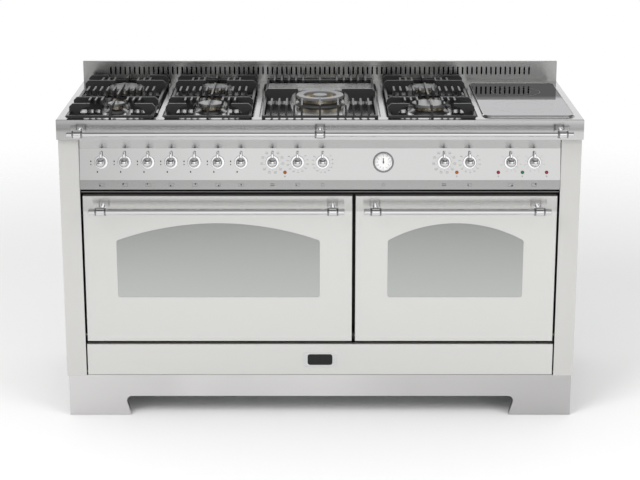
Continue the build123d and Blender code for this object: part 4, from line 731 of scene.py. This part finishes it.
# Signs under the oven knobs: two bars, a dot in a frame, and a frame
FUNCTION_BAR = (0.0125, 0.0018, 0.0006, 2)
FUNCTION_UP = 0.0026
HEAT_DOT = 0.0018
HEAT_DOT_AT = (-0.003, -0.001)
HEAT_FRAME = (0.0115, 0.0085, 0.0006)
TIMER_FRAME = (0.008, 0.008, 0.0007)
# The ring under the dial
CLOCK_INNER = 0.0036
CLOCK_OUTER = 0.0043


def gas_marks():
    """A large and a small flame beside each gas knob and one below it."""
    bm = bmesh.new()
    for x in GAS_XS:
        for left, up, height in GAS_FLAMES:
            add_plate(bm, face_place(x - left, KNOB_UP + up), flame(height))
    finish_piece("gas_marks", bm, "print_dark", "cooker")


def scale_turn(i, count):
    """The turn of one mark of a scale."""
    return SCALE_FIRST + (SCALE_LAST - SCALE_FIRST) * i / (count - 1)


def by_knob(x, reach, turn):
    """An upright place round a knob."""
    return face_place(x + reach * math.sin(turn), KNOB_UP + reach * math.cos(turn))


def add_signs(bm, x):
    """Small framed signs round a function knob."""
    for i in range(SIGN_COUNT):
        place = by_knob(x, SIGN_REACH, SIGN_FIRST + SIGN_SWEEP * i / (SIGN_COUNT - 1))
        add_frame(bm, place, *SIGN_FRAME)
        add_plate(bm, place @ shift(0, SIGN_LINES[i % len(SIGN_LINES)]), rounded_box(*SIGN_BAR))


def scale_marks():
    """Rings of ticks, plain numbers and signs round the oven and hotplate knobs."""
    scales = [
        (LEFT_OVEN_XS[0], None), (LEFT_OVEN_XS[1], OVEN_SCALE), (LEFT_OVEN_XS[2], TIMER_SCALE),
        (RIGHT_OVEN_XS[0], None), (RIGHT_OVEN_XS[1], OVEN_SCALE),
        (ZONE_XS[0], ZONE_SCALE), (ZONE_XS[1], ZONE_SCALE),
    ]
    bm = bmesh.new()
    for x, numbers in scales:
        for i in range(SCALE_TICKS):
            place = face_place(x, KNOB_UP, -scale_turn(i, SCALE_TICKS))
            add_plate(bm, place @ shift(0, TICK_REACH), TICK)
        if numbers is None:
            add_signs(bm, x)
            continue
        for i, number in enumerate(numbers):
            place = by_knob(x, NUMBER_REACH, scale_turn(i, len(numbers)))
            add_number(bm, place, number, NUMBER_HEIGHT)
    finish_piece("scale_marks", bm, "print_dark", "cooker")


def lamp_marks():
    """A small sign under each lamp."""
    bm = bmesh.new()
    for x in LAMP_XS:
        place = face_place(x, LAMP_UP - LAMP_SIGN_DOWN)
        add_ring(bm, place, flat_ring(LAMP_SIGN_INNER, LAMP_SIGN_OUTER, PRINT), SIGN_STEPS)
        add_plate(bm, place, TICK)
    finish_piece("lamp_marks", bm, "print_dark", "cooker")


def hob_marks():
    """Under each hob knob, the dot of its place on a small plan of the hob; signs under the oven knobs."""
    spots = [(-PLAN_OUTER, -PLAN_ROW), (-PLAN_OUTER, PLAN_ROW), (-PLAN_INNER, PLAN_ROW),
             (-PLAN_INNER, -PLAN_ROW), (PLAN_INNER, PLAN_ROW), (PLAN_INNER, -PLAN_ROW), (0, 0),
             (PLAN_OUTER, -PLAN_ROW), (PLAN_OUTER, PLAN_ROW)]
    bm = bmesh.new()
    for x, spot in zip(GAS_XS + ZONE_XS, spots):
        add_plate(bm, sign_place(x) @ shift(*spot), circle(PLAN_DOT, DOT_STEPS))
    for x in (LEFT_OVEN_XS[0], RIGHT_OVEN_XS[0]):
        for up in (-FUNCTION_UP, FUNCTION_UP):
            add_plate(bm, sign_place(x) @ shift(0, up), rounded_box(*FUNCTION_BAR))
    for x in (LEFT_OVEN_XS[1], RIGHT_OVEN_XS[1]):
        add_plate(bm, sign_place(x) @ shift(*HEAT_DOT_AT), circle(HEAT_DOT, DOT_STEPS))
    finish_piece("hob_marks", bm, "print_dark", "cooker")


def mark_frames():
    """The grey outlines of the small plans and signs under the knobs and the dial."""
    bm = bmesh.new()
    for x in GAS_XS + ZONE_XS:
        add_frame(bm, sign_place(x), *PLAN_FRAME)
    for x in (LEFT_OVEN_XS[1], RIGHT_OVEN_XS[1]):
        add_frame(bm, sign_place(x), *HEAT_FRAME)
    add_frame(bm, sign_place(LEFT_OVEN_XS[2]), *TIMER_FRAME)
    add_ring(bm, sign_place(DIAL_X), flat_ring(CLOCK_INNER, CLOCK_OUTER, PRINT), SIGN_STEPS)
    finish_piece("mark_frames", bm, "print_mid", "cooker")


# Dial

DIAL_DEPTH = 0.002
DIAL_PLATE = 0.0002
DIAL_RADIUS = 0.0248
DIAL_BORE = 0.0011
DIAL_STEPS = 64
DIAL_TICKS = 60
DIAL_TICK_REACH = 0.0228
# Half width and length of a dial's ticks
LONG_TICK = (0.00028, 0.0026)
SHORT_TICK = (0.00015, 0.0014)
DIAL_NUMBERS = 12
DIAL_NUMBER_REACH = 0.0172


def dial_face():
    """The white face of the dial, with its ticks and numbers."""
    well = face_place(DIAL_X, KNOB_UP) @ shift(0, 0, -DIAL_DEPTH)
    bm = bmesh.new()
    add_ring(bm, well, flat_ring(DIAL_BORE, DIAL_RADIUS, DIAL_PLATE), DIAL_STEPS)
    finish_piece("dial_face", bm, "dial_white", "cooker")
    bm = bmesh.new()
    face = well @ shift(0, 0, DIAL_PLATE)
    for i in range(DIAL_TICKS):
        half, length = SHORT_TICK if i % 5 else LONG_TICK
        place = face @ Matrix.Rotation(2 * math.pi * i / DIAL_TICKS, 4, "Z") @ shift(0, DIAL_TICK_REACH)
        add_plate(bm, place, bar(half, -length, 0))
    for i in range(DIAL_NUMBERS):
        turn = 2 * math.pi * i / DIAL_NUMBERS
        place = face @ shift(DIAL_NUMBER_REACH * math.sin(turn), DIAL_NUMBER_REACH * math.cos(turn))
        add_number(bm, place, i * 10, NUMBER_HEIGHT)
    finish_piece("dial_print", bm, "print_dark", "cooker")


# Knobs

# The inlay's place on a lever: how far up from the knob's axis and how far out of the panel
INLAY_UP = 0.0262
INLAY_OUT = 0.01695
# Width, height and corner radius
INLAY_BOX = (0.0022, 0.0062, 0.001)
INLAY_THICKNESS = 0.0002


def knob_tips():
    """A dark inlay near the tip of every knob's lever."""
    for name in NODES:
        if not name.startswith("knob_"):
            continue
        bm = bmesh.new()
        place = face_place(centre_x(name), KNOB_UP) @ shift(0, INLAY_UP, INLAY_OUT)
        add_plate(bm, place, rounded_box(*INLAY_BOX), INLAY_THICKNESS)
        finish_piece(f"{name}_line", bm, "print_dark", name)


# Bars

# Where a bar is, its radius, and the radius and half width of its collars
RAIL = {"y": LIP_Y - 0.045, "z": 0.872, "bar": 0.007, "collar": 0.012, "half": 0.011}
HANDLE = {"y": -0.3065, "z": 0.643, "bar": 0.009, "collar": 0.0125, "half": 0.012}
# The bars on each body and where their posts are
BARS = {
    "cooker": (RAIL, (-0.684, 0, 0.684)),
    "left_door": (HANDLE, (-0.6275, 0.0365)),
    "right_door": (HANDLE, (0.1595, 0.6275)),
}
BEAD_PLAY = 0.0001
BEAD_SINK = 0.0026
BEAD_SWELL = 0.0018
BEAD_HALF = 0.002
BEAD_ARC_STEPS = 6
BEAD_STEPS = 40


def bead_profile(bar_radius, collar_radius):
    """Half-round from the collar's face, down to the bar at both ends."""
    foot = bar_radius + BEAD_PLAY
    turns = [math.pi * i / BEAD_ARC_STEPS for i in range(BEAD_ARC_STEPS + 1)]
    arc = [(collar_radius - BEAD_SINK + BEAD_SWELL * math.sin(turn), BEAD_HALF - BEAD_HALF * math.cos(turn))
           for turn in turns]
    return [(foot, 0), *arc, (foot, 2 * BEAD_HALF)]


def collar_rings():
    """Turned beads on both sides of every ball collar."""
    for body, (sizes, posts) in BARS.items():
        profile = bead_profile(sizes["bar"], sizes["collar"])
        bm = bmesh.new()
        for x in posts:
            for side in (-1, 1):
                place = Matrix.Translation((x + side * sizes["half"], sizes["y"], sizes["z"]))
                add_ring(bm, place @ Matrix.Rotation(side * math.pi / 2, 4, "Y"), profile, BEAD_STEPS)
        # The beads take chrome painted mid grey as a painted reflection
        finish_piece(f"{body}_collar_beads", bm, "bead_chrome_painted_reflection", body, smooth=True)


# Badge

FLAP_BOTTOM = 0.130
FLAP_TOP = 0.226
FLAP_SET_BACK = 0.015
BADGE_PROUD = 0.0025
BADGE_SINK = 0.001
# Width, height and corner radius
BADGE_BOX = (0.0735, 0.0335, 0.0078)
BADGE_THICKNESS = 0.0003
BADGE_PIN_X = 0.0435
BADGE_PIN_RADIUS = 0.0022
BADGE_PIN_HEIGHT = 0.0008


def badge_field():
    """The dark bare field of the badge plate and its two small pins."""
    front = LIP_Y + FLAP_SET_BACK - BADGE_PROUD
    middle = (FLAP_BOTTOM + FLAP_TOP) / 2
    bm = bmesh.new()
    add_plate(bm, front_place(0, front + BADGE_SINK, middle), rounded_box(*BADGE_BOX), BADGE_THICKNESS)
    finish_piece("badge_field", bm, "black_enamel", "storage_flap")
    bm = bmesh.new()
    for x in (-BADGE_PIN_X, BADGE_PIN_X):
        add_plate(bm, front_place(x, front, middle), circle(BADGE_PIN_RADIUS), BADGE_PIN_HEIGHT)
    finish_piece("badge_pins", bm, "chrome", "storage_flap")


# Cooling gap

VENT_Y = -0.2465
VENT_Z = 0.687
VENT_HEIGHT = 0.0022
VENT_CORNER = 0.0008
VENT_THICKNESS = 0.0005


def vent_edge():
    """The bright front edge of the shelf in the gap above the doors."""
    width = 2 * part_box("control_fascia")[1].x
    bm = bmesh.new()
    edge = rounded_box(width, VENT_HEIGHT, VENT_CORNER)
    add_plate(bm, front_place(0, VENT_Y, VENT_Z), edge, VENT_THICKNESS)
    finish_piece("vent_edge", bm, "pin_steel", "cooker")


# Hotplates

ZONE_X = 0.598
# How far behind the lip each zone's middle is, and its radius
ZONES = ((0.170, 0.092), (0.395, 0.074))
INNER_ZONE = 0.62
OUTER_LINE = 0.0009
INNER_LINE = 0.0005
ZONE_STEPS = 72


def zone_rings():
    """The faint printed rings of the two hotplates."""
    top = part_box("hob_glass")[1].z
    bm = bmesh.new()
    for back, radius in ZONES:
        place = Matrix.Translation((ZONE_X, LIP_Y + back, top))
        for outer, line in ((radius, OUTER_LINE), (radius * INNER_ZONE, INNER_LINE)):
            add_ring(bm, place, flat_ring(outer - line, outer, PRINT), ZONE_STEPS)
    finish_piece("zone_rings", bm, "zone_print", "cooker")


# Small fasteners

BACKWARDS = Matrix.Rotation(-math.pi / 2, 4, "X")
# A screw head's outline: the radius left open at its middle, then radius and height in shares of its radius
SCREW_MIDDLE = 0.0002
SCREW_DOME = ((1, 0), (0.9, 0.35), (0.5, 0.55))
SCREW_TOP = 0.6
SCREW_STEPS = 20
REAR_SCREW = 0.0045
REAR_SINK = 0.0015
REAR_X = 0.72
REAR_LOW = 0.142
REAR_HIGH = 0.828
REAR_GAPS_ACROSS = 8
REAR_GAPS_UP = 5
LINER_SCREW = 0.004
LINER_SIDE = 0.025
LINER_LOW = 0.285
LINER_DOWN = 0.022


def add_screw(bm, x, y, z, radius):
    """A low domed screw head that looks backwards."""
    dome = [(radius * out, radius * up) for out, up in SCREW_DOME]
    profile = [(SCREW_MIDDLE, 0), *dome, (SCREW_MIDDLE, radius * SCREW_TOP)]
    add_ring(bm, Matrix.Translation((x, y, z)) @ BACKWARDS, profile, SCREW_STEPS)


def rear_screws():
    """Screws round the rear panel."""
    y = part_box("rear_panel")[0].y + REAR_SINK
    bm = bmesh.new()
    for i in range(REAR_GAPS_ACROSS + 1):
        x = -REAR_X + 2 * REAR_X * i / REAR_GAPS_ACROSS
        for z in (REAR_LOW, REAR_HIGH):
            add_screw(bm, x, y, z, REAR_SCREW)
    for i in range(1, REAR_GAPS_UP):
        z = REAR_LOW + (REAR_HIGH - REAR_LOW) * i / REAR_GAPS_UP
        for x in (-REAR_X, REAR_X):
            add_screw(bm, x, y, z, REAR_SCREW)
    finish_piece("rear_screws", bm, "light_alloy", "cooker", smooth=True)


def liner_screws():
    """Screws on the inside of both doors."""
    for side in ("left", "right"):
        low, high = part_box(f"{side}_door_liner")
        bm = bmesh.new()
        for x in (low.x + LINER_SIDE, (low.x + high.x) / 2, high.x - LINER_SIDE):
            for z in (LINER_LOW, high.z - LINER_DOWN):
                add_screw(bm, x, high.y, z, LINER_SCREW)
        finish_piece(f"{side}_liner_screws", bm, "light_alloy", f"{side}_door", smooth=True)


# Stage

# Greys of the room by height, from straight down (0) over the horizon (0.5) to straight up (1)
FRONT_ROOM = [(0.0, 0.6), (0.44, 0.6), (0.485, 1.1), (0.7, 1.1), (0.77, 0.1), (0.93, 0.08), (0.965, 0.4),
              (1.0, 0.4)]
BACK_ROOM = [(0.0, 0.9), (0.5, 1.0), (0.55, 1.5), (0.72, 1.5), (0.8, 0.3), (0.92, 0.12), (0.965, 0.4),
             (1.0, 0.4)]
# Directions between which the front of the room gives way to the back, and its left side to the middle
ROOM_TURN = (-0.3, 0.3)
LEFT_EDGE = (-0.2, -0.05)
LEFT_LEVEL = 0.6
# Dark screens far to the left and right, by how far a direction points sideways
SIDE_SCREENS = [(0.0, 1.0), (0.5, 1.0), (0.66, 0.34), (0.85, 0.42), (1.0, 0.7)]
MATT_LEVEL = 0.75
WHITE = (1, 1, 1, 1)
FLOOR_HALF = 4
FLOOR_FADE = (1.6, 3.8)
# The floor's grey for light that bounces and for the picture
FLOOR_BOUNCE = 0.62
FLOOR_SEEN = 0.92
LAMP_TARGET = (0, 0, 0.5)
LAMP_SIZE = 2.5
PICTURE_WIDTH = 640
SENSOR_WIDTH = 36
FOCAL_PIXELS = 1702.4
CAMERA_PLACE = (0, -4.999, 1.915)
CAMERA_DOWN = 0.2624
CAMERA_SHIFT = -0.05


def floor():
    """A white floor that keeps the cooker's shadow and fades out far from it."""
    mesh = bpy.data.meshes.new("floor")
    corners = [(x * FLOOR_HALF, y * FLOOR_HALF, 0) for x, y in ((-1, -1), (1, -1), (1, 1), (-1, 1))]
    mesh.from_pydata(corners, [], [(0, 1, 2, 3)])
    obj = bpy.data.objects.new("floor", mesh)
    bpy.context.scene.collection.objects.link(obj)
    mat, tree, bsdf = shader("floor_white", grey(0.9), 0.0, 0.9)
    path = tree.nodes.new("ShaderNodeLightPath")
    coord = tree.nodes.new("ShaderNodeTexCoord")
    away = add_node(tree, "ShaderNodeVectorMath", {0: coord.outputs["Object"]}, "LENGTH")
    feed(tree, bsdf, {
        "Base Color": tint(tree, path.outputs["Is Camera Ray"], grey(FLOOR_BOUNCE), grey(FLOOR_SEEN)),
        "Specular IOR Level": 0,
        "Alpha": carried(tree, away.outputs["Value"], FLOOR_FADE, (1, 0), smooth=True),
    })
    mesh.materials.append(mat)


def reflected_room(tree):
    """What bright metal sees: bands of light in front and behind, and dark screens at the sides."""
    coord = tree.nodes.new("ShaderNodeTexCoord")
    look = add_node(tree, "ShaderNodeSeparateXYZ", {"Vector": coord.outputs["Generated"]}).outputs
    height = carried(tree, look["Z"], (-1, 1))
    left = carried(tree, look["X"], LEFT_EDGE, (LEFT_LEVEL, 1))
    front = {0: grey_ramp(tree, height, FRONT_ROOM), "Scale": left}
    dimmed = add_node(tree, "ShaderNodeVectorMath", front, "SCALE").outputs["Vector"]
    rear = carried(tree, look["Y"], ROOM_TURN, smooth=True)
    room = mixed(tree, rear, dimmed, grey_ramp(tree, height, BACK_ROOM))
    sideways = add_node(tree, "ShaderNodeMath", {0: look["X"]}, "ABSOLUTE").outputs["Value"]
    return mixed(tree, 1, room, grey_ramp(tree, sideways, SIDE_SCREENS), "MULTIPLY")


def backdrop(tree, colour, strength):
    """One background."""
    node = add_node(tree, "ShaderNodeBackground", {"Color": colour, "Strength": strength})
    return node.outputs["Background"]


def either(tree, factor, first, second):
    """One background or another."""
    return add_node(tree, "ShaderNodeMixShader", {"Fac": factor, 1: first, 2: second}).outputs["Shader"]


def studio_world():
    """White straight on and through glass, an even grey to matt surfaces, and a room to bright metal."""
    world = bpy.data.worlds.new("studio")
    bpy.context.scene.world = world
    world.use_nodes = True
    tree = world.node_tree
    path = tree.nodes.new("ShaderNodeLightPath").outputs
    matt = backdrop(tree, WHITE, MATT_LEVEL)
    shiny = backdrop(tree, reflected_room(tree), 1.0)
    lit = either(tree, path["Is Glossy Ray"], matt, shiny)
    rays = {0: path["Is Camera Ray"], 1: path["Is Transmission Ray"]}
    straight = add_node(tree, "ShaderNodeMath", rays, "MAXIMUM").outputs["Value"]
    seen = either(tree, straight, lit, backdrop(tree, WHITE, 1.0))
    feed(tree, tree.nodes["World Output"], {"Surface": seen})


def lamp(name, place, power):
    """A soft square lamp aimed at the cooker."""
    data = bpy.data.lights.new(name, "AREA")
    data.size = LAMP_SIZE
    data.energy = power
    obj = bpy.data.objects.new(name, data)
    obj.location = place
    direction = Vector(LAMP_TARGET) - Vector(place)
    obj.rotation_euler = direction.to_track_quat("-Z", "Y").to_euler()
    obj.visible_glossy = False
    bpy.context.scene.collection.objects.link(obj)


def camera():
    """A long lens in front of the cooker, a little above it."""
    data = bpy.data.cameras.new("camera")
    data.sensor_width = SENSOR_WIDTH
    data.lens = FOCAL_PIXELS / PICTURE_WIDTH * SENSOR_WIDTH
    data.shift_y = CAMERA_SHIFT
    obj = bpy.data.objects.new("camera", data)
    obj.location = CAMERA_PLACE
    obj.rotation_euler = (math.pi / 2 - CAMERA_DOWN, 0, 0)
    bpy.context.scene.collection.objects.link(obj)
    bpy.context.scene.camera = obj


def plain_colours():
    """Colours as they are, with no film look."""
    bpy.context.scene.view_settings.view_transform = "Standard"


dress_cad()
gas_marks()
scale_marks()
lamp_marks()
hob_marks()
mark_frames()
dial_face()
knob_tips()
collar_rings()
badge_field()
vent_edge()
zone_rings()
rear_screws()
liner_screws()
floor()
studio_world()
lamp("key", (-2.5, -3.5, 3.5), 120)
lamp("fill", (3.0, -3.0, 2.5), 60)
camera()
plain_colours()
